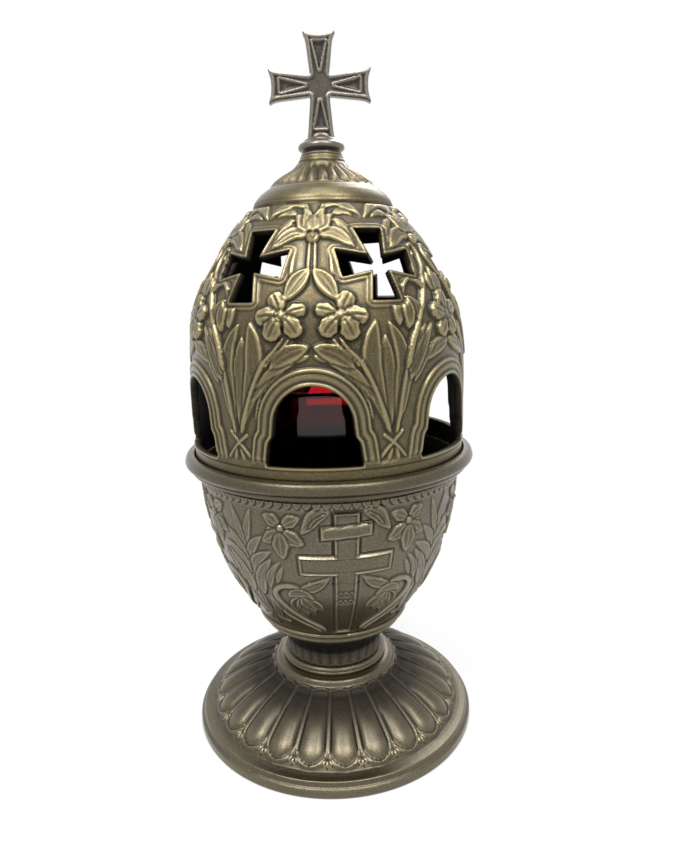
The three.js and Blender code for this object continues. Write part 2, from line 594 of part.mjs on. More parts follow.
function lidGeometry() {
  const inner = inset(domeCurve, LID_WALL).filter((point, i) => i % 2 === 0).reverse();
  const bandInner = LID_BAND_RADIUS - LID_WALL;
  const shell = turned([
    [bandInner, LID_SEAT], [LID_BAND_RADIUS, LID_SEAT], [LID_BAND_RADIUS, LID_SEAT + LID_BAND_HEIGHT - 1.6],
    [LID_BAND_RADIUS - 0.5, LID_SEAT + LID_BAND_HEIGHT - 1],
    ...domeCurve,
    [SHOULDER_RADIUS, SHOULDER_LEVEL], [SHOULDER_RADIUS - 0.6, SHOULDER_LEVEL + 1],
    [SHOULDER_RADIUS - 1.9, CROWN_EDGE - 1.8], [CROWN_RADIUS + 0.5, CROWN_EDGE],
    [CROWN_RADIUS - 2, CROWN_EDGE], [CROWN_RADIUS - 2, SHOULDER_LEVEL - 0.4],
    ...inner.slice(0, -1),
    [bandInner, LID_SEAT + LID_BAND_HEIGHT], [bandInner, LID_SEAT],
  ], 8 * WINDOWS);
  const proud = inset(domeCurve, -ARCH_BAND_RELIEF);
  const skin = turned([
    [DOME_RADIUS - 3, proud[0][1] - 0.6], [proud[0][0], proud[0][1] - 0.6], ...proud.slice(0, 4),
    [DOME_RADIUS - 3, proud[3][1]], [DOME_RADIUS - 3, proud[0][1] - 0.6],
  ], 8 * WINDOWS);
  const band = ringOf(slab(archOutline(ARCH_BAND_WIDTH), -DOME_RADIUS - 4, -DOME_RADIUS + 12), WINDOWS, 0);
  const arches = ringOf(slab(archOutline(0), -DOME_RADIUS - 4, -DOME_RADIUS + 12), WINDOWS, 0);
  const crosses = ringOf(crossCutter(), WINDOWS, 180 / WINDOWS);
  const crownHollow = turned([
    [0, SHOULDER_LEVEL - 3], [CROWN_RADIUS - 2, SHOULDER_LEVEL - 3], [CROWN_RADIUS - 2, CROWN_EDGE - 0.2],
    [10, CROWN_TOP - CROWN_PLATE - 3.2], [6.2, CROWN_TOP - CROWN_PLATE], [0, CROWN_TOP - CROWN_PLATE],
  ], 36);
  const hole = cylinder(STUD_RADIUS + HOLE_CLEARANCE, CROWN_TOP - CROWN_PLATE - 1, CROWN_TOP + 1, 24);
  const solid = toSolid(shell).add(band.intersect(toSolid(skin))).add(lidRelief()).add(crownSolid());
  return toGeometry(solid.subtract(arches).subtract(crosses)
    .subtract(toSolid(crownHollow)).subtract(toSolid(hole)));
}

// Finial: flared cross on a ringed collar, held by a stud and nut inside the crown

const studNutTop = CROWN_TOP - CROWN_PLATE - WASHER_THICKNESS;

function finialOutline(centre, bottom) {
  const waist = FINIAL_WAIST_HALF_WIDTH;
  const end = FINIAL_END_HALF_WIDTH;
  const arm = (length) => [
    [waist, waist], [end - 0.9, length - 2.2], [end, length], [end - 1.4, length - 0.55], [0, length - 0.95],
    [-end + 1.4, length - 0.55], [-end, length], [-end + 0.9, length - 2.2],
  ];
  const turns = [
    [1, 0, 0, 1, CROWN_TOP + FINIAL_HEIGHT - centre], [0, -1, 1, 0, FINIAL_ARM],
    [-1, 0, 0, -1, centre - bottom], [0, 1, -1, 0, FINIAL_ARM],
  ];
  return turns.flatMap(([a, b, c, d, length]) => (
    arm(length).map(([x, z]) => [a * x + b * z, centre + c * x + d * z])));
}

function finialGeometry() {
  const collarTop = CROWN_TOP + FINIAL_COLLAR_HEIGHT;
  const centre = CROWN_TOP + FINIAL_HEIGHT - FINIAL_TOP_ARM;
  const plate = slab(finialOutline(centre, collarTop), -FINIAL_THICKNESS / 2, FINIAL_THICKNESS / 2);
  const studEnd = studNutTop - STUD_NUT_HEIGHT - SCREW_END;
  const base = turned([
    [0, studEnd], [STUD_RADIUS - 0.4, studEnd], [STUD_RADIUS, studEnd + 0.4], [STUD_RADIUS, CROWN_TOP],
    [FINIAL_COLLAR_RADIUS - 0.7, CROWN_TOP], [FINIAL_COLLAR_RADIUS, CROWN_TOP + 1],
    [FINIAL_COLLAR_RADIUS, CROWN_TOP + 1.9], [FINIAL_COLLAR_RADIUS - 0.9, CROWN_TOP + 3],
    [FINIAL_END_HALF_WIDTH + 0.4, collarTop], [FINIAL_END_HALF_WIDTH - 0.2, collarTop + 1],
    [0, collarTop + 1.4],
  ], 32);
  let solid = toSolid(plate).add(toSolid(base));
  const sunk = (length) => [[0, 4.4], [2.5, length - 3], [-2.5, length - 3]];
  const lengths = [CROWN_TOP + FINIAL_HEIGHT - centre, FINIAL_ARM, centre - collarTop, FINIAL_ARM];
  lengths.forEach((length, i) => {
    for (const face of [-1, 1]) {
      const from = face * (FINIAL_THICKNESS / 2 - FINIAL_SINK);
      const pocket = slab(sunk(length), Math.min(from, face * 4), Math.max(from, face * 4));
      pocket.rotateY((i * Math.PI) / 2).translate(0, 0, centre);
      solid = solid.subtract(toSolid(pocket));
    }
  });
  return around(toGeometry(solid), FINIAL_TURN);
}

// Glass: tapered tumbler with a thick floor and a rounded rim

function glassGeometry() {
  const top = GLASS_SEAT + GLASS_HEIGHT;
  const floor = GLASS_SEAT + GLASS_FLOOR;
  const innerBase = GLASS_BASE_RADIUS - GLASS_WALL + 0.3;
  return turned([
    [0, GLASS_SEAT], [GLASS_BASE_RADIUS - 1.2, GLASS_SEAT], [GLASS_BASE_RADIUS, GLASS_SEAT + 1.2],
    [GLASS_RIM_RADIUS - 0.1, top - 1.2], [GLASS_RIM_RADIUS - 0.5, top - 0.3], [GLASS_RIM_RADIUS - 1.1, top],
    [GLASS_RIM_RADIUS - 1.8, top - 0.4], [GLASS_RIM_RADIUS - GLASS_WALL, top - 1.4],
    [innerBase + 0.6, floor + 2], [innerBase - 1.4, floor], [0, floor],
  ], 48);
}

// Floating wick, standing on the floor of the empty glass

const floatBase = GLASS_SEAT + GLASS_FLOOR + WICK_BELOW;
const corkTop = floatBase + CORK_HEIGHT;
const plateTop = corkTop + PLATE_THICKNESS;
const tubeTop = plateTop + WICK_TUBE_ABOVE;
const floatBore = WICK_TUBE_RADIUS + FLOAT_CLEARANCE;

function ringPiece(inner, outer, bottom, top, segments) {
  return turned([[inner, bottom], [outer, bottom], [outer, top], [inner, top], [inner, bottom]], segments);
}

addPart('foot', footGeometry(), bronze);
addPart('bowl', bowlGeometry(), bronze);
addPart('tie_bolt', tieBoltGeometry(), steel);
addPart('tie_washer', washer(TIE_RADIUS + HOLE_CLEARANCE, TIE_NUT_RADIUS + 1.4, tieNutTop), steel);
addPart('tie_nut', nut(TIE_RADIUS + THREAD_CLEARANCE, TIE_NUT_RADIUS, tieNutBottom, tieNutTop), steel);
addPart('lid', lidGeometry(), bronze);
addPart('finial_cross', finialGeometry(), bronze);
addPart('finial_washer', washer(STUD_RADIUS + HOLE_CLEARANCE, STUD_NUT_RADIUS + 1, studNutTop), steel);
addPart('finial_nut',
  nut(STUD_RADIUS + THREAD_CLEARANCE, STUD_NUT_RADIUS, studNutTop - STUD_NUT_HEIGHT, studNutTop), steel);
addPart('glass_cup', glassGeometry(), ruby);
addPart('float_cork', ringPiece(floatBore, CORK_RADIUS, floatBase, corkTop, 32), corkBrown);
addPart('float_plate', ringPiece(floatBore, PLATE_RADIUS, corkTop, plateTop, 32), brass);

// The tube has a turned-out collar that rests on the plate.
addPart('wick_tube', turned([
  [WICK_TUBE_RADIUS - WICK_TUBE_WALL, floatBase], [WICK_TUBE_RADIUS, floatBase],
  [WICK_TUBE_RADIUS, plateTop], [WICK_TUBE_RADIUS + 1.6, plateTop], [WICK_TUBE_RADIUS + 1.6, plateTop + 0.6],
  [WICK_TUBE_RADIUS, plateTop + 0.6], [WICK_TUBE_RADIUS, tubeTop],
  [WICK_TUBE_RADIUS - WICK_TUBE_WALL, tubeTop], [WICK_TUBE_RADIUS - WICK_TUBE_WALL, floatBase],
], 24), brass);
addPart('wick', cylinder(WICK_RADIUS, GLASS_SEAT + GLASS_FLOOR, tubeTop + WICK_ABOVE, 16), cotton);

export default group;
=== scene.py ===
import math

import bmesh
import bpy
import numpy as np
from mathutils import Matrix, Vector, kdtree
from mathutils.geometry import delaunay_2d_cdt


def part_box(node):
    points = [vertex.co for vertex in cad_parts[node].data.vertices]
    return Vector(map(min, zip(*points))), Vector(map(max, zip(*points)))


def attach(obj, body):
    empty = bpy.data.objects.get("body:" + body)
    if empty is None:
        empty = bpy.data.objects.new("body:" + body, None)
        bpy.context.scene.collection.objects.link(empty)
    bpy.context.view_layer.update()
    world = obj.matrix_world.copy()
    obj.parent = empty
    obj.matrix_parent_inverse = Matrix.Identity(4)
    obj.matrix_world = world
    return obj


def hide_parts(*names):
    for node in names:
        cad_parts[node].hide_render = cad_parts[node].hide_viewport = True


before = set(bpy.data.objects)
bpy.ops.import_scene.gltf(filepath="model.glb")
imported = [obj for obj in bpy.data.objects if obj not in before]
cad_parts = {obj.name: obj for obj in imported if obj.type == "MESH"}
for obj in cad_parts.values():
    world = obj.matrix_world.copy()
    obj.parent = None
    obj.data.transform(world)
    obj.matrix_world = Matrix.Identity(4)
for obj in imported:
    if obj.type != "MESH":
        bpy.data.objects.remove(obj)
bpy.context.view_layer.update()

# Foot
# A light-alloy casting, hollow underneath: 24 gadroons with rounded ends on a plain stepped
# edge. Its collar carries the bowl's neck ring, and the tie screw comes down through it.
# Lengths are in millimetres here and below. Angles run from -Y towards +X, in degrees.

FOOT_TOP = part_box("foot")[1].z * 1000
FOOT_RADIUS = 49.7
FOOT_EDGE_HEIGHT = 3.3
FOOT_BORDER = 5.0
FOOT_BORDER_RADIUS = 47.4
FOOT_COLLAR_RADIUS = 19.5
FOOT_PLATE = FOOT_TOP - 3.64
TIE_HOLE_RADIUS = 2.9
GADROONS = 24
GADROON_TURN = 1.3
GADROON_RISE = 1.9
GADROON_TOP_RADIUS = 23.4
GADROON_END_RADIUS = 45.5
GADROON_STEPS = 28
LOBE_END_RADIUS = 44.3
LOBE_CAP = 4.9
LOBE_FADE = 15
LOBE_SQUARENESS = 2.4
LOBE_FULLNESS = 0.65
LINE_RISE = 0.75
LINE_WIDTH = 0.4
TOP_SCALLOP = 0.6
# Where a lobe ends and where the fine line beside it runs, in shares of half a pitch
LOBE_SHARE = 0.81
LINE_SHARE = 0.93
# Painted shade and a painted dark reflection of the bowl on the foot's top near the collar, and the curve
# with which painted shade is stored.
SHADE_RADIUS = 41.5
SHADE_WIDTH = 12.5
PAINTED_SHADE_CURVE = 2.5


def between(radii, heights):
    """Where a point lies between two radii and two heights, by its share of each."""
    return lambda share, rise: (
        radii[0] + share * (radii[1] - radii[0]), heights[0] + rise * (heights[1] - heights[0]))


def lengths_along(points):
    """How far along a line each of its points lies."""
    return np.concatenate([[0], np.cumsum(np.hypot(*np.diff(points, axis=0).T))])


def smooth_curve(points, steps):
    """Points of a Catmull-Rom curve through a few given ones."""
    p = np.array(points, float)
    p = np.vstack([p[0], p, p[-1]])
    curve = []
    for i in range(1, len(p) - 2):
        a, b, c, d = p[i - 1:i + 3]
        for t in np.arange(steps) / steps:
            curve.append(0.5 * (2 * b + (c - a) * t + (2 * a - 5 * b + 4 * c - d) * t ** 2
                                + (3 * b - a - 3 * c + d) * t ** 3))
    curve.append(p[-2])
    return [tuple(q) for q in curve]


def respaced(points, spacing):
    """The same line with its points about one spacing apart."""
    p = np.array(points, float)
    along = lengths_along(p)
    at = np.linspace(0, along[-1], max(2, round(along[-1] / spacing) + 1))
    return [tuple(q) for q in np.stack([np.interp(at, along, p[:, k]) for k in (0, 1)], 1)]


def softened(points, radius, steps=3):
    """An outline with its corners rounded, as casting and paint leave them."""
    p = [Vector(q) for q in points]
    line = [points[0]]
    for before, corner, after in zip(p, p[1:], p[2:]):
        reach = min(radius, (before - corner).length * 0.45, (after - corner).length * 0.45)
        start = corner + (before - corner).normalized() * reach
        end = corner + (after - corner).normalized() * reach
        for k in range(steps + 1):
            t = k / steps
            line.append(tuple((1 - t) ** 2 * start + 2 * t * (1 - t) * corner + t ** 2 * end))
    return line + [points[-1]]


def new_piece(name, vertices, faces):
    """A piece from points in millimetres, its place in its mesh."""
    mesh = bpy.data.meshes.new(name)
    mesh.from_pydata([(x / 1000, y / 1000, z / 1000) for x, y, z in vertices], [], faces)
    mesh.update()
    piece = bpy.data.objects.new(name, mesh)
    bpy.context.scene.collection.objects.link(piece)
    return piece


def turned(name, outline, segments, closed=True):
    """A body of revolution from (radius, height) points taken counter-clockwise."""
    vertices, rings = [], []
    for radius, height in outline:
        if radius < 1e-6:
            rings.append([len(vertices)] * segments)
            vertices.append((0, 0, height))
            continue
        rings.append(range(len(vertices), len(vertices) + segments))
        for k in range(segments):
            angle = 2 * math.pi * k / segments
            vertices.append((radius * math.sin(angle), -radius * math.cos(angle), height))
    faces = []
    if closed and outline[0][0] > 0:
        rings.append(rings[0])
    for low, high in zip(rings, rings[1:]):
        for k in range(segments):
            j = (k + 1) % segments
            corners = [low[k], low[j], high[j], high[k]]
            face = [c for i, c in enumerate(corners) if c != corners[i - 1]]
            if len(face) > 2:
                faces.append(face)
    return new_piece(name, vertices, faces)


class Output:
    """An output of a node. Reckoning with it in Python adds Math nodes to its tree."""

    def __init__(self, socket):
        self.socket = socket
        self.tree = socket.id_data

    def __getitem__(self, name):
        """Another output of the same node."""
        return Output(self.socket.node.outputs[name])

    def __add__(self, other):
        return calc("ADD", self, other)

    def __radd__(self, other):
        return calc("ADD", other, self)

    def __sub__(self, other):
        return calc("SUBTRACT", self, other)

    def __rsub__(self, other):
        return calc("SUBTRACT", other, self)

    def __mul__(self, other):
        return calc("MULTIPLY", self, other)

    def __truediv__(self, other):
        return calc("DIVIDE", self, other)

    def __rtruediv__(self, other):
        return calc("DIVIDE", other, self)

    def __pow__(self, other):
        return calc("POWER", self, other)


def feed(tree, inputs, values):
    """Links inputs to outputs of nodes, or sets them to plain values."""
    for name, value in values.items():
        if isinstance(value, Output):
            tree.links.new(value.socket, inputs[name])
        else:
            inputs[name].default_value = value


def add_node(tree, kind, values=None, output=0, **settings):
    """A new node with its settings and its inputs. Gives one of its outputs."""
    node = tree.nodes.new(kind)
    for name, value in settings.items():
        setattr(node, name, value)
    feed(tree, node.inputs, values or {})
    return Output(node.outputs[output])


def calc(operation, *values):
    """A Math node, in the tree of the outputs it is fed with."""
    tree = next(value.tree for value in values if isinstance(value, Output))
    return add_node(tree, "ShaderNodeMath", dict(enumerate(values)), operation=operation)


def ranged(value, low, high, to=(0.0, 1.0), **settings):
    """A value brought from one range into another, and held at its ends."""
    return add_node(value.tree, "ShaderNodeMapRange", {
        "Value": value, "From Min": low, "From Max": high, "To Min": to[0], "To Max": to[1]}, **settings)


def noise(place, scale, detail, **more):
    return add_node(place.tree, "ShaderNodeTexNoise", {
        "Vector": place, "Scale": scale, "Detail": detail, **more})


def new_tree(name, kind, sizes, results):
    """An empty node tree that takes named sizes and gives named results, with its two ends."""
    tree = bpy.data.node_groups.new(name, kind)
    for label, shape, value in sizes:
        socket = tree.interface.new_socket(label, in_out="INPUT", socket_type="NodeSocket" + shape)
        if value is not None:
            socket.default_value = value
    for label, shape in results:
        tree.interface.new_socket(label, in_out="OUTPUT", socket_type="NodeSocket" + shape)
    size = Output(tree.nodes.new("NodeGroupInput").outputs[0])
    return tree, size, tree.nodes.new("NodeGroupOutput").inputs


def shape_tree(name, sizes):
    """An empty Geometry Nodes tree that takes a blank, some sizes and a material."""
    return new_tree(name, "GeometryNodeTree", [
        ("Geometry", "Geometry", None), *sizes, ("Material", "Material", None)], [("Geometry", "Geometry")])


def end_tree(shape, size, out, weld=None):
    """Ends a tree: makes its shape real, welds it if asked, and gives it its material."""
    whole = add_node(shape.tree, "GeometryNodeRealizeInstances", {"Geometry": shape})
    if weld:
        whole = add_node(shape.tree, "GeometryNodeMergeByDistance", {"Geometry": whole, "Distance": weld})
    feed(shape.tree, out, {"Geometry": add_node(shape.tree, "GeometryNodeSetMaterial", {
        "Geometry": whole, "Material": size["Material"]})})


def grown(blank, tree, name, sizes):
    """The plain mesh that a tree makes of a blank, which it then takes the place of."""
    modifier = blank.modifiers.new(tree.name, "NODES")
    modifier.node_group = tree
    for item in tree.interface.items_tree:
        if item.item_type == "SOCKET" and item.in_out == "INPUT" and item.name in sizes:
            modifier[item.identifier] = sizes[item.name]
    bpy.context.view_layer.update()
    mesh = bpy.data.meshes.new_from_object(blank.evaluated_get(bpy.context.evaluated_depsgraph_get()))
    bpy.data.objects.remove(blank)
    mesh.name = name
    piece = bpy.data.objects.new(name, mesh)
    bpy.context.scene.collection.objects.link(piece)
    return piece


def round_the_axis(tree, count, turn):
    """A point's place, the pitch of the copies that stand round the axis, and how far the point
    lies from the middle of its copy, from 0 to 1."""
    place = add_node(tree, "ShaderNodeSeparateXYZ", {"Vector": add_node(tree, "GeometryNodeInputPosition")})
    angle = calc("ARCTAN2", place["X"], place["Y"] * -1.0)
    pitch = 2 * math.pi / count
    phase = calc("FRACT", (angle - turn) / pitch)
    return place, pitch, calc("ABSOLUTE", phase * 2.0 - 1.0)


def fine_ridge(distance):
    """A rounded line's height, from 1 on the line to nothing beside it."""
    share = distance / (LINE_WIDTH / 1000)
    return calc("EXPONENT", share * share * -1.0)


def gadroon_tree():
    """Raises rounded lobes and the fine lines between them on a turned foot."""
    tree, size, out = shape_tree("gadroons", [
        ("Lobes", "Int", 24), ("Turn", "Float", 0.0), ("Rise", "Float", 0.002), ("Line", "Float", 0.0005),
        ("Top radius", "Float", 0.023), ("End radius", "Float", 0.045), ("Cap", "Float", 0.0035)])
    place, pitch, across = round_the_axis(tree, size["Lobes"], size["Turn"])
    radius = calc("SQRT", place["X"] * place["X"] + place["Y"] * place["Y"])
    in_cap = calc("MAXIMUM", radius - (size["End radius"] - size["Cap"]), 0.0) / size["Cap"]
    edge = calc("SQRT", across * across + in_cap * in_cap)
    crown = 1.0 - calc("MINIMUM", edge / LOBE_SHARE, 1.0) ** LOBE_SQUARENESS
    top = size["Top radius"] - (1.0 - across * across) * (TOP_SCALLOP / 1000)
    below = radius - top
    fade = ranged(below, 0.0002, LOBE_FADE / 1000, interpolation_type="SMOOTHSTEP")
    lobe = crown ** LOBE_FULLNESS * (size["Rise"] * fade)
    ridge = fine_ridge(calc("ABSOLUTE", edge - LINE_SHARE) * (pitch * 0.5 * radius))
    lines = calc("MAXIMUM", ridge * calc("GREATER_THAN", below, 0.0), fine_ridge(below)) * size["Line"]
    top_face = add_node(tree, "GeometryNodeInputNamedAttribute", {"Name": "top face"}, data_type="FLOAT")
    up = add_node(tree, "ShaderNodeCombineXYZ", {"Z": calc("MAXIMUM", lobe, lines) * top_face})
    raised = add_node(tree, "GeometryNodeSetPosition", {"Geometry": size["Geometry"], "Offset": up})
    end_tree(raised, size, out)
    return tree


def ring_tree():
    """Repeats a blank round the lamp's axis and welds the copies where they meet."""
    tree, size, out = shape_tree("repeat round the axis", [
        ("Copies", "Int", 6), ("First turn", "Float", 0.0), ("Weld", "Float", 0.00001)])
    points = add_node(tree, "GeometryNodePoints", {"Count": size["Copies"]})
    step = 2 * math.pi / size["Copies"]
    turn = add_node(tree, "GeometryNodeInputIndex") * step + size["First turn"]
    copies = add_node(tree, "GeometryNodeInstanceOnPoints", {
        "Points": points, "Instance": size["Geometry"],
        "Rotation": add_node(tree, "ShaderNodeCombineXYZ", {"Z": turn})})
    end_tree(copies, size, out, weld=size["Weld"])
    return tree


def speckle_group():
    """The fine hammered speckle of the paint: a mask, and a height for a Bump node."""
    group, given, out = new_tree("hammered speckle", "ShaderNodeTree", [
        ("Grain", "Float", 3000.0), ("Contrast", "Float", 1.0)], [("Speckle", "Float"), ("Height", "Float")])
    place = add_node(group, "ShaderNodeTexCoord", output="Object")
    fine = noise(place, given["Grain"], 2.0, Roughness=0.6)
    pits = add_node(group, "ShaderNodeTexVoronoi", {"Vector": place, "Scale": given["Grain"] * 0.8})
    height = fine + pits["Distance"] * 0.35
    feed(group, out, {"Speckle": ranged(height, 0.5, 0.95, (0.0, given["Contrast"])), "Height": height})
    return group


def shade_and_highlight_group():
    """Painted shade in hollows and painted highlights on edges, from how sunk a point lies."""
    group, given, out = new_tree("antique wear", "ShaderNodeTree", [
        ("Hollow dark", "Float", 1.0), ("Edge bright", "Float", 1.0)],
        [("Dark", "Float"), ("Bright", "Float")])
    sunk = add_node(group, "ShaderNodeAttribute", output="Fac", attribute_name="sunk")
    uneven = 0.6 + noise(add_node(group, "ShaderNodeTexCoord", output="Object"), 160.0, 3.0) * 0.8
    dark = ranged(sunk, 0.02, 0.6, (0.0, given["Hollow dark"]))
    bright = ranged(sunk * -1.0, 0.05, 0.7, (0.0, given["Edge bright"]))
    feed(group, out, {"Dark": dark * uneven, "Bright": bright * uneven})
    return group


def mixed_colour(share, first, second):
    """A colour between two, each of them an output or a colour value."""
    return add_node(share.tree, "ShaderNodeMix", {"Factor": share, 6: first, 7: second}, 2, data_type="RGBA")


def bump(height, strength, distance):
    return add_node(height.tree, "ShaderNodeBump", {
        "Height": height, "Strength": strength, "Distance": distance})


def bare_material(name):
    """A new node material, and the place on the object for its patterns."""
    material = bpy.data.materials.new(name)
    material.use_nodes = True
    return material, add_node(material.node_tree, "ShaderNodeTexCoord", output="Object")


def shaded(material, values):
    """The material, with inputs of its Principled shader linked or set."""
    feed(material.node_tree, material.node_tree.nodes["Principled BSDF"].inputs, values)
    return material


speckle = speckle_group()
shade_and_highlight = shade_and_highlight_group()


def bronze_paint(name, dark, middle, bright, hollow=0.75):
    """Metallic antique bronze paint under a thin clear coat, with painted shade in hollows and
    painted highlights on edges, and near-black painted shade where the piece stores it."""
    material, place = bare_material(name)
    tree = material.node_tree
    grain = add_node(tree, "ShaderNodeGroup", {"Contrast": 1.0}, node_tree=speckle)
    shade_and_highlight_marks = add_node(tree, "ShaderNodeGroup", {"Hollow dark": hollow, "Edge bright": 0.45}, node_tree=shade_and_highlight)
    body = mixed_colour(grain["Speckle"] * 0.7 + noise(place, 45.0, 2.0) * 0.35, dark, middle)
    # Painted highlights on edges in the bright colour, then near-black painted shade in hollows.
    highlighted_edges = mixed_colour(shade_and_highlight_marks["Bright"], body, bright)
    shaded_hollows = mixed_colour(shade_and_highlight_marks["Dark"], highlighted_edges, (0.012, 0.01, 0.006, 1))
    # Near-black painted shade that the piece stores: rougher and without the coat's sheen.
    painted_shade = add_node(tree, "ShaderNodeAttribute", output="Fac", attribute_name="painted_shade") ** (1 / PAINTED_SHADE_CURVE)
    return shaded(material, {
        "Base Color": mixed_colour(painted_shade, shaded_hollows, (0.006, 0.006, 0.007, 1)),
        "Roughness": 0.29 + (grain["Speckle"] * 0.1 + (shade_and_highlight_marks["Dark"] * 0.3 + painted_shade * 0.5)),
        "Metallic": 0.9,
        "Coat Weight": (1.0 - painted_shade) * 0.45,
        "Coat Roughness": 0.3,
        "Normal": bump(grain["Height"], 0.5, 0.00012)})


bronze = bronze_paint(
    "antique_bronze", (0.028, 0.023, 0.014, 1), (0.165, 0.137, 0.08, 1), (0.38, 0.31, 0.19, 1))


def evened(values, ends, rounds):
    """Values of a mesh's points averaged with their neighbours' a few times over."""
    a, b = ends.T
    count = len(values)
    links = np.maximum(np.bincount(a, minlength=count) + np.bincount(b, minlength=count), 1)
    for _ in range(rounds):
        values = (np.bincount(a, values[b], count) + np.bincount(b, values[a], count)) / links
    return values


def set_values(piece, name, values):
    """Stores one number per point under a name."""
    stored = piece.data.attributes.new(name, "FLOAT", "POINT")
    stored.data.foreach_set("value", np.asarray(values, np.float32))


def mark_sunk(piece, rounds, depth):
    """Stores how far each point lies below its surroundings: 1 in a deep hollow, -1 on an edge."""
    mesh = piece.data
    count = len(mesh.vertices)
    place, normal, ends = np.empty(count * 3), np.empty(count * 3), np.empty(len(mesh.edges) * 2, int)
    mesh.vertices.foreach_get("co", place)
    mesh.vertices.foreach_get("normal", normal)
    mesh.edges.foreach_get("vertices", ends)
    place, ends = place.reshape(-1, 3) * 1000, ends.reshape(-1, 2)
    around = np.stack([evened(place[:, k], ends, rounds) for k in range(3)], 1)
    set_values(piece, "sunk", np.clip(((around - place) * normal.reshape(-1, 3)).sum(1) / depth, -1, 1))


def finish_casting(piece, body, *nodes, crease=50, rounds=7, depth=0.35):
    """Smooth shading with real edges kept, the sunk marks and the paint; hides the CAD nodes and hangs the
    piece on its body.
    """
    piece.data.shade_smooth()
    piece.data.set_sharp_from_angle(angle=math.radians(crease))
    if "sunk" not in piece.data.attributes:
        mark_sunk(piece, rounds, depth)
    if not piece.data.materials:
        piece.data.materials.append(bronze)
    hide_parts(*nodes)
    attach(piece, body)


gadroons = gadroon_tree()
ring = ring_tree()


def repeated(blank, name, copies, turn, paint, weld=0.00001):
    """A blank's copies round the axis, joined where they meet."""
    return grown(blank, ring, name, {
        "Copies": copies, "First turn": math.radians(turn), "Weld": weld, "Material": paint})


on_foot = between((GADROON_TOP_RADIUS, GADROON_END_RADIUS), (FOOT_BORDER, FOOT_TOP - 1.5))
valley = [(r, z - 1.5) for r, z in smooth_curve([
    on_foot(0.9, 0.212), on_foot(0.748, 0.358), on_foot(0.477, 0.623), on_foot(0.207, 0.848)], 8)]
foot_slope = (
    respaced([(48.3, FOOT_BORDER - 0.1), (GADROON_END_RADIUS + 0.6, FOOT_BORDER + 0.05)], 0.7)
    + respaced([(GADROON_END_RADIUS + 0.5, FOOT_BORDER + 0.06), (44.4, 5.4), valley[0]], 0.34)
    + respaced(valley, 0.6)[1:]
    + respaced([(GADROON_TOP_RADIUS + 1.6, 17.6), (GADROON_TOP_RADIUS - 1.6, 19.6)], 0.3))
foot_top_face = [point for point in foot_slope if point[0] < FOOT_BORDER_RADIUS]
foot_edge = softened([
    (47.1, 0), (49.3, 0), (FOOT_RADIUS, 0.6), (FOOT_RADIUS - 0.1, 2.8), (49.1, FOOT_EDGE_HEIGHT),
    (48.75, FOOT_EDGE_HEIGHT + 0.1), (48.5, 3.7), (48.35, 4.4), (48.1, FOOT_BORDER),
    (47.6, FOOT_BORDER + 0.05)], 0.4)[:-1]
foot_collar = softened([
    (21.6, 19.9), (21.3, 20.5), (20.9, 21.1), (20.2, 21.45), (FOOT_COLLAR_RADIUS, FOOT_TOP),
    (TIE_HOLE_RADIUS, FOOT_TOP), (TIE_HOLE_RADIUS, FOOT_PLATE), (19.3, FOOT_PLATE), (22.5, 15.4), (28, 12.0),
    (34, 8.5), (40, 4.4), (44.5, 1.6), (47.1, 1.2)], 0.4)
foot_outline = foot_edge + foot_top_face + foot_collar
foot_steps = GADROONS * GADROON_STEPS
on_top = np.repeat([0.0, 1.0, 0.0], [len(foot_edge), len(foot_top_face), len(foot_collar)])
from_axis = np.array([radius for radius, _ in foot_outline])
# Painted shade and painted reflection of the bowl, darkest at the collar.
in_shade = np.clip((SHADE_RADIUS - from_axis) / SHADE_WIDTH, 0, 1) * on_top
in_shade *= from_axis > GADROON_TOP_RADIUS - 0.5
foot_blank = turned("foot_blank", foot_outline, foot_steps)
set_values(foot_blank, "top face", np.repeat(on_top, foot_steps))
set_values(foot_blank, "painted_shade", np.repeat((0.7 * in_shade) ** PAINTED_SHADE_CURVE, foot_steps))
foot = grown(foot_blank, gadroons, "foot_casting", {
    "Lobes": GADROONS, "Turn": math.radians(GADROON_TURN), "Rise": GADROON_RISE / 1000,
    "Line": LINE_RISE / 1000, "Top radius": GADROON_TOP_RADIUS / 1000,
    "End radius": LOBE_END_RADIUS / 1000, "Cap": LOBE_CAP / 1000, "Material": bronze})
finish_casting(foot, "stand", "foot", crease=60, depth=0.55)

BUD_APEX_RADIUS = 41.3
BUD_WIDTH = 1.2
BUD_LENGTH = 2.9
BUD_RISE = 0.65
BUD_SPREAD = 38
foot_ground = np.array(foot_slope)[::-1]


def bud_fan(name, turns):
    """Three small teardrops that spread like a fan from one point, over the foot's top face."""
    rows, sides = 5, 8
    vertices, faces = [], []
    for turn in turns:
        tip = len(vertices)
        for i in range(rows + 1):
            t = i / rows
            half = BUD_WIDTH / 2 * math.sin(math.pi * t ** 1.4)
            for k in range(sides if 0 < i < rows else 1):
                angle = 2 * math.pi * k / sides
                across = half * math.cos(angle)
                x = t * BUD_LENGTH * math.sin(turn) + across * math.cos(turn)
                y = -BUD_APEX_RADIUS - t * BUD_LENGTH * math.cos(turn) + across * math.sin(turn)
                ground = float(np.interp(math.hypot(x, y), foot_ground[:, 0], foot_ground[:, 1]))
                vertices.append((x, y, ground + BUD_RISE * 2 * half / BUD_WIDTH * math.sin(angle)))
        base, end = tip + 1, len(vertices) - 1
        faces += [(tip, base + (k + 1) % sides, base + k) for k in range(sides)]
        faces += [(b + k, b + (k + 1) % sides, b + sides + (k + 1) % sides, b + sides + k)
                  for b in range(base, end - sides, sides) for k in range(sides)]
        faces += [(end - sides + k, end - sides + (k + 1) % sides, end) for k in range(sides)]
    return new_piece(name, vertices, faces)


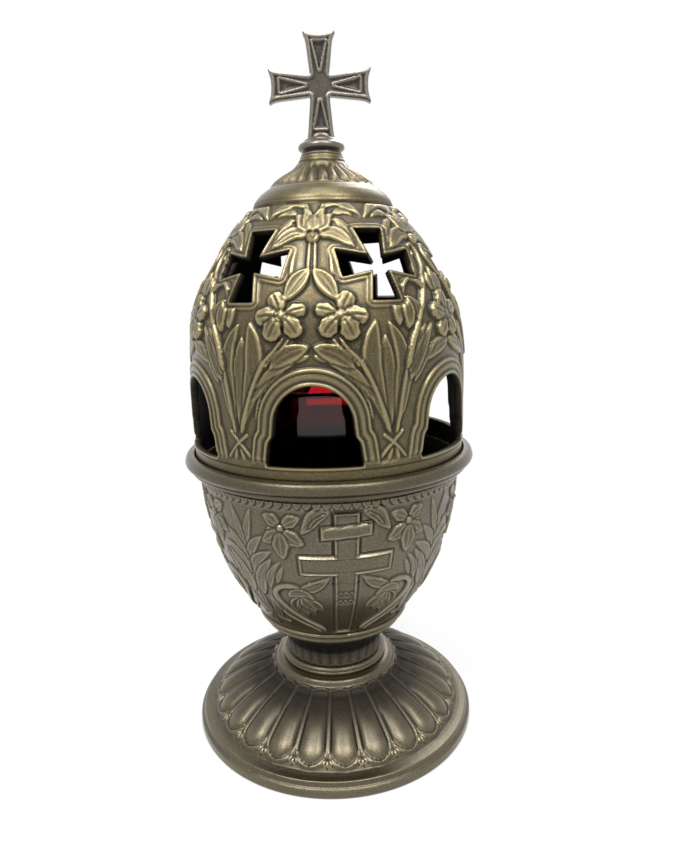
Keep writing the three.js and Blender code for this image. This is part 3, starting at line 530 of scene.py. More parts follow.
fan = bud_fan("foot_fan", [math.radians(a) for a in (-BUD_SPREAD, 0, BUD_SPREAD)])
foot_buds = repeated(fan, "foot_buds", GADROONS, GADROON_TURN, bronze, weld=0.000001)
finish_casting(foot_buds, "stand", "foot", crease=80, rounds=2)

# Bowl
# One casting: a fluted neck between rings, and a deep cup with a rolled rim. Four panels carry
# a long-posted cross among lilies. The lid sits in the rim's rebate, the glass on the ledge
# inside, and the tie screw's head lies in the well under the glass.

RIM_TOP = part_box("bowl")[1].z * 1000
RIM_RADIUS = 48.9
RIM_BEAD_RADIUS = 2.7
RIM_STEPS = 256
LID_SEAT = RIM_TOP - RIM_BEAD_RADIUS - 0.2
SEAT_OUTER_RADIUS = RIM_RADIUS - 1.22 * RIM_BEAD_RADIUS
BOWL_WALL = 2.4
SKIN_THICKNESS = 1.1
WELL_RADIUS = 14
WELL_FLOOR = FOOT_TOP + 20.6
GLASS_SEAT = FOOT_TOP + 24.6
BOWL_PANELS = 4
BOWL_PANEL_TURN = 11.5
BOWL_COLUMNS = 192
PANEL_PERIOD = 360 / BOWL_PANELS
POST_LOW, POST_HIGH = FOOT_TOP + 22, FOOT_TOP + 68.4
POST_HALF_ANGLE = 5.3
BAR_LOW, BAR_HIGH = FOOT_TOP + 47.4, FOOT_TOP + 54.2
BAR_HALF_ANGLE = 20.4
PLATE_LOW, PLATE_HIGH = FOOT_TOP + 60.1, FOOT_TOP + 64.3
PLATE_HALF_ANGLE = 10.3
BORDER_LEVEL = FOOT_TOP + 70.6
BORDER_SCALLOPS = 96
BORDER_DROP = 1.9
NECK_FLUTES = 30
NECK_FLUTE_STEPS = 12


def wrapped(angle, period):
    """An angle brought to within half a period of zero."""
    return (angle + period / 2) % period - period / 2


def eased_step(share):
    """A soft step from 0 to 1 while a share runs from 0 to 1."""
    share = np.clip(share, 0, 1)
    return share * share * (3 - 2 * share)


class Relief:
    """Low relief on a turned surface. Its points are given by angle, and by how far up the
    profile they lie, and its shapes are drawn by angle and height over the table."""

    def __init__(self, angle, climb, profile, period):
        self.angle = angle
        self.climb = climb
        self.period = period
        self.line_climb = lengths_along(profile)
        self.line_radius, self.line_height = np.array(profile).T
        self.height = np.zeros(len(angle))
        self.level = np.interp(climb, self.line_climb, self.line_height)

    def climb_at(self, level):
        return np.interp(level, self.line_height, self.line_climb)

    def degree_at(self, climb):
        """How long a degree is at some way up the profile."""
        return math.radians(1) * np.interp(climb, self.line_climb, self.line_radius)

    def near(self, path, reach):
        """The points near a path, and both of them unrolled flat, in millimetres."""
        path = np.array(path, float)
        middle = path[len(path) // 2]
        climb = self.climb_at(path[:, 1])
        centre = self.climb_at(middle[1])
        scale = self.degree_at(centre)
        px, py = (path[:, 0] - middle[0]) * scale, climb - centre
        x, y = wrapped(self.angle - middle[0], self.period) * scale, self.climb - centre
        found = np.nonzero((x > px.min() - reach) & (x < px.max() + reach)
                           & (y > py.min() - reach) & (y < py.max() + reach))[0]
        return found, x[found], y[found], px, py

    def stroke(self, path, reach):
        """The points near a path, how far off it they lie and how far along it, from 0 to 1."""
        curve = smooth_curve(path, 5) if len(path) > 2 else path
        found, x, y, px, py = self.near(curve, reach)
        length = np.hypot(np.diff(px), np.diff(py))
        start = np.concatenate([[0], np.cumsum(length)])
        off, share = np.full(len(x), 1e9), np.zeros(len(x))
        for i in range(len(length)):
            dx, dy = px[i + 1] - px[i], py[i + 1] - py[i]
            t = np.clip(((x - px[i]) * dx + (y - py[i]) * dy) / max(length[i] ** 2, 1e-9), 0, 1)
            distance = np.hypot(x - px[i] - t * dx, y - py[i] - t * dy)
            nearer = distance < off
            off = np.where(nearer, distance, off)
            share = np.where(nearer, (start[i] + t * length[i]) / start[-1], share)
        return found, off, share

    def lay(self, found, off, half, shape, groove):
        """Adds a shape, and a fine groove round it that parts it from what it lies on."""
        moat = np.clip(1 - np.abs(off - half - 0.15) / 0.4, 0, 1) * (half > 0.05)
        ground = self.height[found] - groove * moat * (off > half - 0.25)
        raised = shape * eased_step((half - off) / 0.42)
        self.height[found] = np.maximum(np.maximum(ground, -0.35), raised)

    def leaf(self, path, width, rise, swell=0.75, vein=0.2, groove=0.22, face=0.62, blunt=0.75,
             folds=0.0):
        """A leaf or petal along a path, with a middle vein. A face under 1 is dished and one over
        1 domed, a low blunt gives it a round end, a high swell moves its widest place towards the
        tip, and folds crease it on both sides of the vein and ruffle its edge."""
        found, off, share = self.stroke(path, width / 2 + 0.6)
        half = width / 2 * np.sin(np.pi * np.clip(share, 0.001, 0.999) ** swell) ** blunt
        half = half * (1 + 0.5 * folds * np.sin(16 * share))
        across = np.clip(off / np.maximum(half, 1e-3), 0, 1)
        shape = rise * (face + (1 - face) * across ** 2) + vein * np.exp(-(off / 0.32) ** 2)
        shape = shape - folds * np.exp(-((across - 0.56) / 0.16) ** 2) * np.sin(np.pi * share)
        self.lay(found, off, half, shape, groove)

    def cord(self, path, width, rise, groove=0.12):
        """A round stem or line of even width that thins out at its ends."""
        found, off, share = self.stroke(path, width / 2 + 0.6)
        half = width / 2 * np.clip(np.minimum(share, 1 - share) * 12 + 0.45, 0, 1)
        across = np.clip(off / np.maximum(half, 1e-3), 0, 1)
        self.lay(found, off, half, rise * (0.45 + 0.55 * np.sqrt(1 - across ** 2)), groove)

    def knob(self, angle, level, radius, rise):
        """A round boss."""
        found, x, y, _, _ = self.near([(angle, level), (angle, level)], radius + 0.7)
        off = np.hypot(x, y)
        dome = rise * (0.5 + 0.5 * np.sqrt(np.clip(1 - (off / radius) ** 2, 0, 1)))
        self.lay(found, off, np.full(len(off), float(radius)), dome, 0.25)

    def flower(self, angle, level, petals, rise, boss, side=1, **more):
        """An open flower. Each petal has its tip's offset from the boss in mm, its width, how
        far it bends sideways, and its share of the rise. Side -1 mirrors the petals."""
        climb = self.climb_at(level)
        scale = self.degree_at(climb)
        for x, y, width, bend, share in petals:
            path = []
            for t in (0.1, 0.4, 0.7, 1.0):
                aside = bend * math.sin(math.pi * t)
                reach = math.hypot(x, y)
                across, along = t * x - aside * y / reach, t * y + aside * x / reach
                path.append((angle + side * across / scale,
                             float(np.interp(climb + along, self.line_climb, self.line_height))))
            self.leaf(path, width, rise * share, **more)
        self.knob(angle, level, boss, rise + 0.35)
        self.knob(angle, level, boss * 0.4, rise + 0.55)

    def slab(self, low, high, half_angle, rise, rim=0.0, tilt=0.0, groove=0.32):
        """A raised flat field about the middle line, with a fine line along its edge if asked."""
        angle = wrapped(self.angle, self.period)
        centre = (low + high) / 2 + tilt * angle
        inward = np.minimum((half_angle - np.abs(angle)) * self.degree_at(self.climb),
                            (high - low) / 2 - np.abs(self.level - centre))
        step = eased_step(inward / 0.4)
        moat = np.clip(1 - np.abs(inward + 0.3) / 0.4, 0, 1)
        line = rim * np.exp(-((inward - 0.5) / 0.3) ** 2)
        field = np.maximum(self.height * (1 - step), (rise + line) * step)
        self.height = np.where(inward > 0, field, self.height - groove * moat)

    def mirrored(self, middle, side):
        """leaf and cord with their angles taken from a middle line, to one side of it."""
        def leaf(path, *sizes, **more):
            self.leaf([(middle + side * a, z) for a, z in path], *sizes, **more)

        def cord(path, *sizes, **more):
            self.cord([(middle + side * a, z) for a, z in path], *sizes, **more)

        return leaf, cord


def bowl_growth(relief, side):
    """The lilies, stems and leaves on one side of the panel's cross."""
    side_leaf, side_cord = relief.mirrored(0, side)

    def leaf(path, width, rise, swell=0.75):
        side_leaf(path, width, 0.75 * rise, swell, vein=0.14, groove=0.34, face=0.4)

    def cord(path, width, rise):
        side_cord(path, width, 0.8 * rise, groove=0.3)

    cord([(14, 43.4), (20, 46), (27, 48.4), (34, 51.6), (38, 56)], 1.1, 0.6)
    leaf([(43.5, 45.6), (39.6, 50), (38, 55), (38.6, 59.6)], 3.6, 0.75)
    leaf([(33.5, 47.4), (38.4, 46.8), (44.4, 49.2)], 2.8, 0.65)
    cord([(44.5, 44), (43.8, 52), (44.2, 62), (44.8, 74)], 1.1, 0.6)
    leaf([(44.8, 76), (43.2, 81), (41.6, 85.4), (39.4, 90.2)], 3.2, 0.8)
    leaf([(44.6, 71.6), (41.8, 76), (38.6, 79), (34.6, 81.4)], 3.6, 0.85)
    leaf([(43.6, 66), (41.4, 71), (37.2, 74), (31.4, 76.4)], 4.2, 0.85)
    leaf([(41.8, 58.6), (40.8, 64.6), (37, 69.6), (32.2, 74)], 4.6, 0.9)
    leaf([(36.4, 62), (35, 66.4), (31.6, 70.6), (28, 73.4)], 2.8, 0.8)
    leaf([(31.6, 64.6), (30.4, 67.6), (27.4, 71.6)], 2.2, 0.7)
    cord([(11.5, 44.8), (17, 47.4), (22, 49.6), (27, 52.2), (31.6, 55.4), (34.2, 59), (33.2, 62),
          (29.6, 63.9), (25, 64.3), (20.5, 63.6)], 2.3, 0.95)
    leaf([(21, 63.4), (16, 64.2), (12, 65.6), (7.2, 68.2)], 4.2, 1.0)
    for tip in ((26, 53.2), (20.6, 50.6), (15.4, 52.6), (10.8, 54.8)):
        bend = ((20.6 + tip[0]) / 2 + 1.2, (61 + tip[1]) / 2 + 0.6)
        leaf([(20.6, 61), bend, tip], 4.0, 1.05, swell=1.1)
    leaf([(27.4, 60), (24, 61.9), (19, 61.9), (14.6, 59.4)], 3.4, 1.2)
    petals = [(4.6, -1.0, 3.0, 0.2, 0.7), (-3.0, 4.6, 3.0, 0.2, 0.7), (5.4, 3.9, 4.4, 0.5, 0.9),
              (-6.2, 3.7, 4.2, -0.4, 0.9), (6.6, -5.2, 4.4, -0.5, 0.95), (-7.0, -5.2, 4.9, 0.5, 1),
              (0.0, -10.8, 5.2, 0.4, 1)]
    relief.flower(side * 26.3, 84.7, petals, 0.9, 1.25, side, swell=0.9, face=0.5, vein=0.2, groove=0.36,
                  folds=0.1)
    leaf([(6.6, 91), (12, 89), (15, 86), (18.2, 83)], 4.9, 1.0)
    cord([(8.4, 89.6), (12.2, 87.8), (14.6, 85.4)], 0.9, 1.0)


def bowl_pattern(relief):
    """The growth on both sides of a panel, its cross with the plate, and the border's grooves."""
    for side in (-1, 1):
        bowl_growth(relief, side)
    relief.slab(POST_LOW, POST_HIGH, POST_HALF_ANGLE, 0.3, rim=0.5)
    relief.slab(BAR_LOW, BAR_HIGH, BAR_HALF_ANGLE, 0.3, rim=0.5)
    relief.slab(POST_LOW + 1, POST_HIGH - 1, POST_HALF_ANGLE - 1.4, 0.3, groove=0)
    relief.slab(BAR_LOW + 1, BAR_HIGH - 1, BAR_HALF_ANGLE - 1.4, 0.3, groove=0)
    relief.slab(PLATE_LOW, PLATE_HIGH, PLATE_HALF_ANGLE, 0.7, rim=0.15, tilt=0.05)
    angle = wrapped(relief.angle, relief.period)
    across = wrapped(angle, 360 / BORDER_SCALLOPS) * relief.degree_at(relief.climb)
    under = BORDER_LEVEL + 0.45 - BORDER_DROP * np.sqrt(np.clip(1 - (across / 1.5) ** 2, 0, 1))
    relief.height = relief.height - 0.4 * np.clip(1 - np.abs(relief.level - under) / 0.5, 0, 1)
    for step in range(-1, 2):
        for lift, rise in ((36.4, 0.8), (39.6, 0.9)):
            relief.cord([(2.6 * step - 1.3, FOOT_TOP + lift), (2.6 * step, FOOT_TOP + lift + 1.3),
                         (2.6 * step + 1.3, FOOT_TOP + lift)], 0.7, rise)


def risen(base, points):
    """(radius, height) points with their heights counted from a base."""
    return [(radius, base + height) for radius, height in points]


def from_corner(radius, level, points):
    """Points given by how far in from a radius and how far down from a level they lie."""
    return [(radius - inset, level - drop) for inset, drop in points]


on_bowl = between((26.2, RIM_RADIUS - 5.1), (FOOT_TOP + 20.2, FOOT_TOP + 69.2))
bowl_curve = smooth_curve([
    on_bowl(0, 0), on_bowl(0.375, 0.212), on_bowl(0.648, 0.4), on_bowl(0.852, 0.649), on_bowl(0.943, 0.812),
    on_bowl(1, 1)], 12)
carved = respaced([(r - 0.35, z) for r, z in bowl_curve] + [(43.7, FOOT_TOP + 71.4)], 0.31)
bead = softened(from_corner(RIM_RADIUS, RIM_TOP, [
    (3.3, 6.1), (2.6, 5.95), (2.0, 5.6), (1.7, 5.0), (1.8, 4.5), (2.1, 4.2), (1.5, 4.15), (0.8, 3.9),
    (0.2, 3.3), (0, 2.6), (0.25, 1.8), (0.6, 1.0), (0.95, 0.55), (1.6, 0.25), (2.7, 0)]), 0.25, 2)
inner_curve = [(r - BOWL_WALL * 0.9, z) for r, z in bowl_curve[::6] if GLASS_SEAT + 1 < z < LID_SEAT - 4]
inner_radius = SEAT_OUTER_RADIUS - 3
rim_outline = (
    softened(risen(FOOT_TOP, [(43.1, 71.1), (44.0, 71.5), (44.5, 71.8), (44.7, 73.0), (44.5, 73.3),
                              (45.2, 73.6), (45.6, 74.2)]), 0.3, 2)
    + bead
    + softened(from_corner(SEAT_OUTER_RADIUS, RIM_TOP, [(-0.3, 0.1), (0, 0.6)]) + [
        (SEAT_OUTER_RADIUS, LID_SEAT), (inner_radius, LID_SEAT), (inner_radius, LID_SEAT - 4)], 0.3, 2))
lining_outline = (
    inner_curve[::-1]
    + [(24.6, GLASS_SEAT + 0.5), (23.6, GLASS_SEAT), (WELL_RADIUS, GLASS_SEAT), (WELL_RADIUS, WELL_FLOOR),
       (TIE_HOLE_RADIUS, WELL_FLOOR), (TIE_HOLE_RADIUS, WELL_FLOOR - 4.2), (10.4, WELL_FLOOR - 4.6),
       (12.5, 40.2), (25.2, 41.0)]
    + [(r - 0.9, z) for r, z in bowl_curve[::6] if z > 42.5])


def panel_mesh(name, outline, columns, period, heights):
    """One sector of a casting: its closed outline swept through a period, with relief in mm."""
    line = np.array(outline)
    along = np.roll(line, -1, 0) - np.roll(line, 1, 0)
    along /= np.hypot(*along.T)[:, None]
    outward = np.stack([along[:, 1], -along[:, 0]], 1)
    angles = np.radians(np.linspace(-period / 2, period / 2, columns + 1))[:, None]
    radius, level = np.moveaxis(line[None] + heights[:, :, None] * outward[None], 2, 0)
    vertices = np.stack([radius * np.sin(angles), -radius * np.cos(angles), level], 2).reshape(-1, 3)
    rows = len(outline)
    faces = [(i * rows + j, (i + 1) * rows + j, (i + 1) * rows + (j + 1) % rows, i * rows + (j + 1) % rows)
             for i in range(columns) for j in range(rows)]
    return new_piece(name, vertices.tolist(), faces)


# A lighter, greyer copy of the bronze paint with weaker painted shade in hollows: painted light and painted
# reflection of the white surroundings on the bowl.
bowl_bronze_lightened = bronze_paint(
    "bowl_bronze_lightened", (0.042, 0.037, 0.024, 1), (0.195, 0.17, 0.106, 1), (0.38, 0.325, 0.2, 1), hollow=0.6)
panel_angles = np.linspace(-PANEL_PERIOD / 2, PANEL_PERIOD / 2, BOWL_COLUMNS + 1)
carved_climb = lengths_along(carved)
grid_angle, grid_climb = np.meshgrid(panel_angles, carved_climb, indexing="ij")
bowl_relief = Relief(grid_angle.ravel(), grid_climb.ravel(), carved, PANEL_PERIOD)
bowl_pattern(bowl_relief)
carved_height = bowl_relief.height.reshape(grid_angle.shape)
carved_height *= np.clip(np.minimum(carved_climb, carved_climb[-1] - carved_climb) / 1.5, 0, 1)
carved_height[-1] = carved_height[0] = (carved_height[0] + carved_height[-1]) / 2
grid = np.arange(carved_height.size).reshape(carved_height.shape)
grid_ends = np.vstack([np.stack([grid[:-1].ravel(), grid[1:].ravel()], 1),
                       np.stack([grid[:, :-1].ravel(), grid[:, 1:].ravel()], 1)])
flat_height = carved_height.ravel()
carved_sunk = np.clip((evened(flat_height, grid_ends, 6) - flat_height) / 0.18, -1, 1).reshape(grid.shape)


def bowl_ring(name, first_row, last_row):
    """A closed ring of the cup's carved skin, repeated from one panel."""
    rows = carved[first_row:last_row + 1]
    back = [(r - SKIN_THICKNESS, z) for r, z in rows[::-12] + rows[:1]]
    heights, sunk = np.zeros((2, BOWL_COLUMNS + 1, len(rows) + len(back)))
    heights[:, :len(rows)] = carved_height[:, first_row:last_row + 1]
    sunk[:, :len(rows)] = carved_sunk[:, first_row:last_row + 1]
    blank = panel_mesh(name + "_blank", rows + back, BOWL_COLUMNS, PANEL_PERIOD, heights)
    set_values(blank, "sunk", sunk.ravel())
    piece = repeated(blank, name, BOWL_PANELS, BOWL_PANEL_TURN, bowl_bronze_lightened)
    finish_casting(piece, "stand", "bowl", crease=65)


middle_row = len(carved) // 2
bowl_ring("bowl_lower_skin", 0, middle_row)
bowl_ring("bowl_upper_skin", middle_row, len(carved) - 1)
bowl_rim = turned("bowl_rim", rim_outline + lining_outline, RIM_STEPS)
# A darker copy of the bronze paint with a brighter edge colour: painted shade on the rim's bead and a painted
# highlight along its edge.
bowl_rim.data.materials.append(bronze_paint(
    "rim_bronze_shaded", (0.026, 0.021, 0.011, 1), (0.125, 0.102, 0.055, 1), (0.42, 0.34, 0.18, 1)))
# The cup's inside is painted near black: painted shade.
in_cup = np.repeat([0.0, 0.9], [len(rim_outline), len(lining_outline)])
set_values(bowl_rim, "painted_shade", np.repeat(in_cup, RIM_STEPS))
finish_casting(bowl_rim, "stand", "bowl", crease=40, rounds=4, depth=0.7)


def lappet(name, radius, level, width, drop, rise):
    """One half-round lappet of the border: its round end hangs down, its back lies in the wall."""
    sides = 12
    row = sides + 1
    profile = [(1.0, -0.7), (1.0, 0.0), (0.96, 0.6 * rise), (0.72, 0.9 * rise), (0.36, rise)]
    vertices = []
    for share, out in profile:
        for k in range(row):
            angle = math.pi * k / sides
            vertices.append((share * width / 2 * math.cos(angle), -radius - out,
                             level - share * drop * math.sin(angle)))
    starts = [i * row for i in range(len(profile))]
    faces = [(i + k, i + k + 1, i + row + k + 1, i + row + k) for i in starts[:-1] for k in range(sides)]
    faces += [[starts[-1] + k for k in range(row)], list(range(row))[::-1],
              starts + [i + sides for i in starts[::-1]]]
    return new_piece(name, vertices, faces)


def face_outwards(piece):
    """Turns all the faces of a closed piece to its outside."""
    work = bmesh.new()
    work.from_mesh(piece.data)
    bmesh.ops.recalc_face_normals(work, faces=work.faces)
    work.to_mesh(piece.data)
    work.free()


border_lappet = lappet("lappet", 43.6, BORDER_LEVEL + 0.7, 2.8, BORDER_DROP, 0.9)
bowl_border = repeated(border_lappet, "bowl_border", BORDER_SCALLOPS, BOWL_PANEL_TURN, bowl_bronze_lightened)
face_outwards(bowl_border)
finish_casting(bowl_border, "stand", "bowl", crease=50, rounds=1)


def flute_tree():
    """Cuts even grooves into a turned piece, as deep as the piece's own attribute says."""
    tree, size, out = shape_tree("flutes", [
        ("Flutes", "Int", 30), ("Turn", "Float", 0.0), ("Sharpness", "Float", 3.0),
        ("Depth", "Float", 0.0005)])
    _, _, across = round_the_axis(tree, size["Flutes"], size["Turn"])
    share = add_node(tree, "GeometryNodeInputNamedAttribute", {"Name": "flute"}, data_type="FLOAT")
    inward = add_node(tree, "ShaderNodeVectorMath", {
        "Vector": add_node(tree, "GeometryNodeInputNormal"),
        "Scale": across ** size["Sharpness"] * share * (size["Depth"] * -1.0)}, operation="SCALE")
    moved = add_node(tree, "GeometryNodeSetPosition", {"Geometry": size["Geometry"], "Offset": inward})
    end_tree(moved, size, out)
    return tree


flutes = flute_tree()


def fluted(name, outline, segments, share, paint, sizes):
    """A turned piece with flutes. share gives how deep they go at a point, from 0 to 1."""
    blank = turned(name + "_blank", outline, segments)
    set_values(blank, "flute", np.repeat([share(r, z) for r, z in outline], segments))
    blank.data.shade_smooth()
    return grown(blank, flutes, name, {**sizes, "Material": paint})


neck_foot = risen(FOOT_TOP, [
    (10.5, 0), (18.2, 0), (18.7, 0.5), (18.75, 1.1), (18.35, 1.45), (18.7, 1.8), (18.5, 2.4), (17.9, 2.9),
    (17.1, 3.1)])
neck_cove = risen(FOOT_TOP, [(17.0, 7.6), (17.4, 9.4), (18.9, 11.7), (21.6, 14.2), (23.4, 15.4)])
neck_rings = risen(FOOT_TOP, [
    (24.0, 15.7), (24.7, 16.4), (24.8, 17.3), (24.4, 17.8), (25.2, 18.2), (26.4, 18.9), (26.7, 19.6),
    (26.2, 20.3), (24.5, 20.2)])
neck_outline = (
    softened(neck_foot, 0.35)
    + respaced(risen(FOOT_TOP, [(17.1, 3.2), (17.2, 7.2)]), 0.4)
    + smooth_curve(neck_cove, 4)
    + softened(neck_rings, 0.35)
    + risen(FOOT_TOP, [(12.4, 19.0), (10.5, 16.0)]))


def neck_share(radius, level):
    """The neck's flutes run from its lower rings up into the cove, where they fade out."""
    rise = level - FOOT_TOP
    return min(1.0, (12.0 - rise) / 5) if 3.4 < rise < 12.0 and radius > 15 else 0.0


bowl_neck = fluted("bowl_neck", neck_outline, NECK_FLUTES * NECK_FLUTE_STEPS, neck_share, bronze, {
    "Flutes": NECK_FLUTES, "Sharpness": 1.6, "Depth": 0.0005})
neck_rise = np.array([v.co.z * 1000 - FOOT_TOP for v in bowl_neck.data.vertices])
from_axis = np.array([math.hypot(v.co.x, v.co.y) * 1000 for v in bowl_neck.data.vertices])
# The upper cove under the cup is painted near black: painted shade.
in_cove = np.clip((neck_rise - 4.5) / 3.5, 0, 1) * (neck_rise < 15.6) * (from_axis < 24.0)
set_values(bowl_neck, "painted_shade", (0.75 * in_cove) ** PAINTED_SHADE_CURVE)
finish_casting(bowl_neck, "stand", "bowl")

# Tie screw, washer and nut
# An M5 zinc-plated steel screw: its head lies in the bowl's well, and the nut under the foot
# pulls both castings together.


def plated_steel(name):
    """Bright zinc plating with faint turning marks."""
    material, place = bare_material(name)
    marks = noise(place, 900.0, 3.0)
    return shaded(material, {
        "Base Color": mixed_colour(marks, (0.42, 0.43, 0.45, 1), (0.66, 0.66, 0.65, 1)),
        "Roughness": 0.22 + marks * 0.25,
        "Metallic": 1.0,
        "Normal": bump(marks, 0.2, 0.0001)})


def repaint(material, *nodes):
    """Gives CAD nodes a material in place of their own."""
    for node in nodes:
        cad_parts[node].data.materials.clear()
        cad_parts[node].data.materials.append(material)


steel = plated_steel("zinc_plated_steel")
repaint(steel, "tie_bolt", "tie_washer", "tie_nut")

# Glass cup
# A pressed tumbler of clear ruby glass, thick in the floor, with a fire-polished rim. It stands
# loose on the ledge inside the bowl.

GLASS_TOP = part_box("glass_cup")[1].z * 1000
GLASS_RIM_RADIUS = 33.5
GLASS_BASE_RADIUS = 24
GLASS_WALL = 2.2
GLASS_FLOOR = GLASS_SEAT + 5


def ruby_glass(name):
    """Clear glass coloured right through, with the slight waves of pressing."""
    material, place = bare_material(name)
    waves = noise(place, 60.0, 1.0)
    return shaded(material, {
        "Base Color": mixed_colour(waves, (0.42, 0.005, 0.014, 1), (0.55, 0.009, 0.022, 1)),
        "Roughness": 0.02 + waves * 0.04,
        "Transmission Weight": 1.0,
        "IOR": 1.5,
        "Normal": bump(waves, 0.15, 0.0004)})


glass_foot = [
    (0, GLASS_SEAT + 0.5), (GLASS_BASE_RADIUS - 5, GLASS_SEAT + 0.5), (GLASS_BASE_RADIUS - 4, GLASS_SEAT),
    (GLASS_BASE_RADIUS - 1, GLASS_SEAT), (GLASS_BASE_RADIUS, GLASS_SEAT + 1.2)]
glass_rim = from_corner(GLASS_RIM_RADIUS, GLASS_TOP, [
    (0.1, 1.2), (0.4, 0.3), (1.1, 0), (1.8, 0.3), (GLASS_WALL, 1.4)])
glass_inside = from_corner(GLASS_BASE_RADIUS - GLASS_WALL, GLASS_FLOOR, [(-0.8, -2), (1.2, 0)])
glass_outline = softened(glass_foot + glass_rim + glass_inside + [(0, GLASS_FLOOR)], 0.8, 4)
glass = turned("ruby_cup", glass_outline, 128)
glass.data.shade_smooth()
glass.data.set_sharp_from_angle(angle=math.radians(60))
glass.data.materials.append(ruby_glass("ruby_glass"))
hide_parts("glass_cup")
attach(glass, "cup")

# Floating wick
# A cork ring under a thin brass plate carries a brass tube, and a plaited cotton wick runs
# through the tube. It stands on the floor of the empty glass.


def raw_cork(name):
    """Granulated cork with dark pores."""
    material, place = bare_material(name)
    grains = add_node(place.tree, "ShaderNodeTexVoronoi", {"Vector": place, "Scale": 420.0})["Distance"]
    holes = ranged(noise(place, 700.0, 4.0), 0.58, 0.66)
    tone = mixed_colour(grains, (0.5, 0.3, 0.14, 1), (0.36, 0.2, 0.09, 1))
    return shaded(material, {
        "Base Color": mixed_colour(holes, tone, (0.1, 0.05, 0.02, 1)),
        "Roughness": 0.9,
        "Normal": bump(grains - holes, 0.6, 0.0003)})


def satin_brass(name):
    """Rolled brass with a fine brushed grain and a little tarnish."""
    material, place = bare_material(name)
    brushed = add_node(place.tree, "ShaderNodeMapping", {"Vector": place, "Scale": (200, 4000, 900)})
    grain = noise(brushed, 1.0, 3.0)
    tarnish = noise(place, 120.0, 3.0)
    return shaded(material, {
        "Base Color": mixed_colour(tarnish, (0.62, 0.4, 0.1, 1), (0.86, 0.63, 0.22, 1)),
        "Roughness": 0.24 + grain * 0.25,
        "Metallic": 1.0,
        "Normal": bump(grain, 0.15, 0.0001)})


def plaited_cotton(name):
    """Undyed cotton: crossing diagonal threads with a soft sheen."""
    material, place = bare_material(name)
    threads = []
    for lean in (0.7, -0.7):
        leaning = add_node(place.tree, "ShaderNodeMapping", {"Vector": place, "Rotation": (0, lean, 0)})
        threads.append(add_node(place.tree, "ShaderNodeTexWave", {
            "Vector": leaning, "Scale": 420.0, "Distortion": 1.0}, "Fac", bands_direction="Z"))
    plait = calc("MAXIMUM", *threads)
    return shaded(material, {
        "Base Color": mixed_colour(plait, (0.5, 0.46, 0.38, 1), (0.86, 0.83, 0.74, 1)),
        "Roughness": 0.95,
        "Sheen Weight": 0.4,
        "Normal": bump(plait, 0.8, 0.0003)})


repaint(raw_cork("raw_cork"), "float_cork")
repaint(satin_brass("satin_brass"), "float_plate", "wick_tube")
repaint(plaited_cotton("plaited_cotton"), "wick")

# Lid
# One casting that sits loose in the rim's rebate: an egg-shaped dome, pierced by six arches and
# six crosses, with lilies and blades in low relief between them, and a fluted crown on top.

LID_BAND_RADIUS = SEAT_OUTER_RADIUS - 0.4
DOME_RADIUS = LID_BAND_RADIUS + 0.1
SHOULDER_RADIUS = 21.9
SHOULDER_LEVEL = LID_SEAT + 81.4
CROWN_EDGE = SHOULDER_LEVEL + 4.2
CROWN_TOP = CROWN_EDGE + 10.2
CROWN_RADIUS = 17.4
CROWN_NECK_RADIUS = 6.9
CROWN_FLUTES = 28
CROWN_FLUTE_STEPS = 14
LID_WALL = 1.9
SILL = LID_SEAT + 6
ARCH_HALF_WIDTH = 11.2
ARCH_FOOT_HALF_WIDTH = 13.9
ARCH_SHOULDER_HALF_WIDTH = 12.9
ARCH_HEIGHT = 23.5
ARCH_SHOULDER_RISE = 7.2
CROSS_LEVEL = LID_SEAT + 62.1
CROSS_HALF_SPAN = 11.4
CROSS_END_HALF_WIDTH = 4.4
CROSS_WAIST_HALF_WIDTH = 2.4
LID_PERIOD = 120
LID_SPACING = 0.35
LID_PARTING = LID_SEAT + 39.4
LID_BEGIN, LID_END = -30.0, 90.0
LINING_SPACING = 3.2
WINDOW_SPACING = 0.5
ARCHIVOLT = (
    (0, 0.5), (0.3, 0.95), (0.6, 1.0), (0.95, 0.7), (1.3, 0.3), (1.8, 0.6), (2.4, 0.75), (3.0, 0.7),
    (3.5, 0.45), (3.8, 0.35), (4.15, 0.85), (4.5, 0.85), (4.85, 0.3), (5.2, -0.15))
CROSS_FRAME = (
    (0, 0.25), (0.2, 0.6), (0.5, 0.65), (0.85, 0.3), (1.15, 0.1), (1.5, 0.4), (1.8, 0.35), (2.1, 0.0))
LILY = {"swell": 1.3, "blunt": 0.42, "face": 1.3, "vein": -0.28, "groove": 0.4, "folds": 0.16}
BELL = {"swell": 1.2, "blunt": 0.6, "groove": 0.35}
BLADE = {"swell": 1.7, "vein": 0.06, "face": 0.45, "groove": 0.3}

# A warmer, more golden copy of the bronze paint: painted warm light from above on the lid.
lid_bronze_warm_lit = bronze_paint(
    "lid_bronze_warm_lit", (0.03, 0.023, 0.009, 1), (0.185, 0.145, 0.062, 1), (0.48, 0.395, 0.2, 1))
on_dome = between((SHOULDER_RADIUS, DOME_RADIUS), (LID_SEAT, SHOULDER_LEVEL))
dome_curve = smooth_curve([
    (DOME_RADIUS - 0.1, SILL), on_dome(1, 0.209), on_dome(0.996, 0.332), on_dome(0.97, 0.46),
    on_dome(0.897, 0.59), on_dome(0.697, 0.729), on_dome(0.406, 0.862), on_dome(0.184, 0.941),
    (SHOULDER_RADIUS + 0.4, SHOULDER_LEVEL - 0.9)], 10)
lid_band = [(LID_BAND_RADIUS - 0.3, LID_SEAT), (LID_BAND_RADIUS, LID_SEAT + 0.3)] + from_corner(
    LID_BAND_RADIUS, SILL, [(0, 1.4), (0.1, 0.7), (-0.15, 0.3), (-0.35, -0.2), (-0.1, -0.7)])
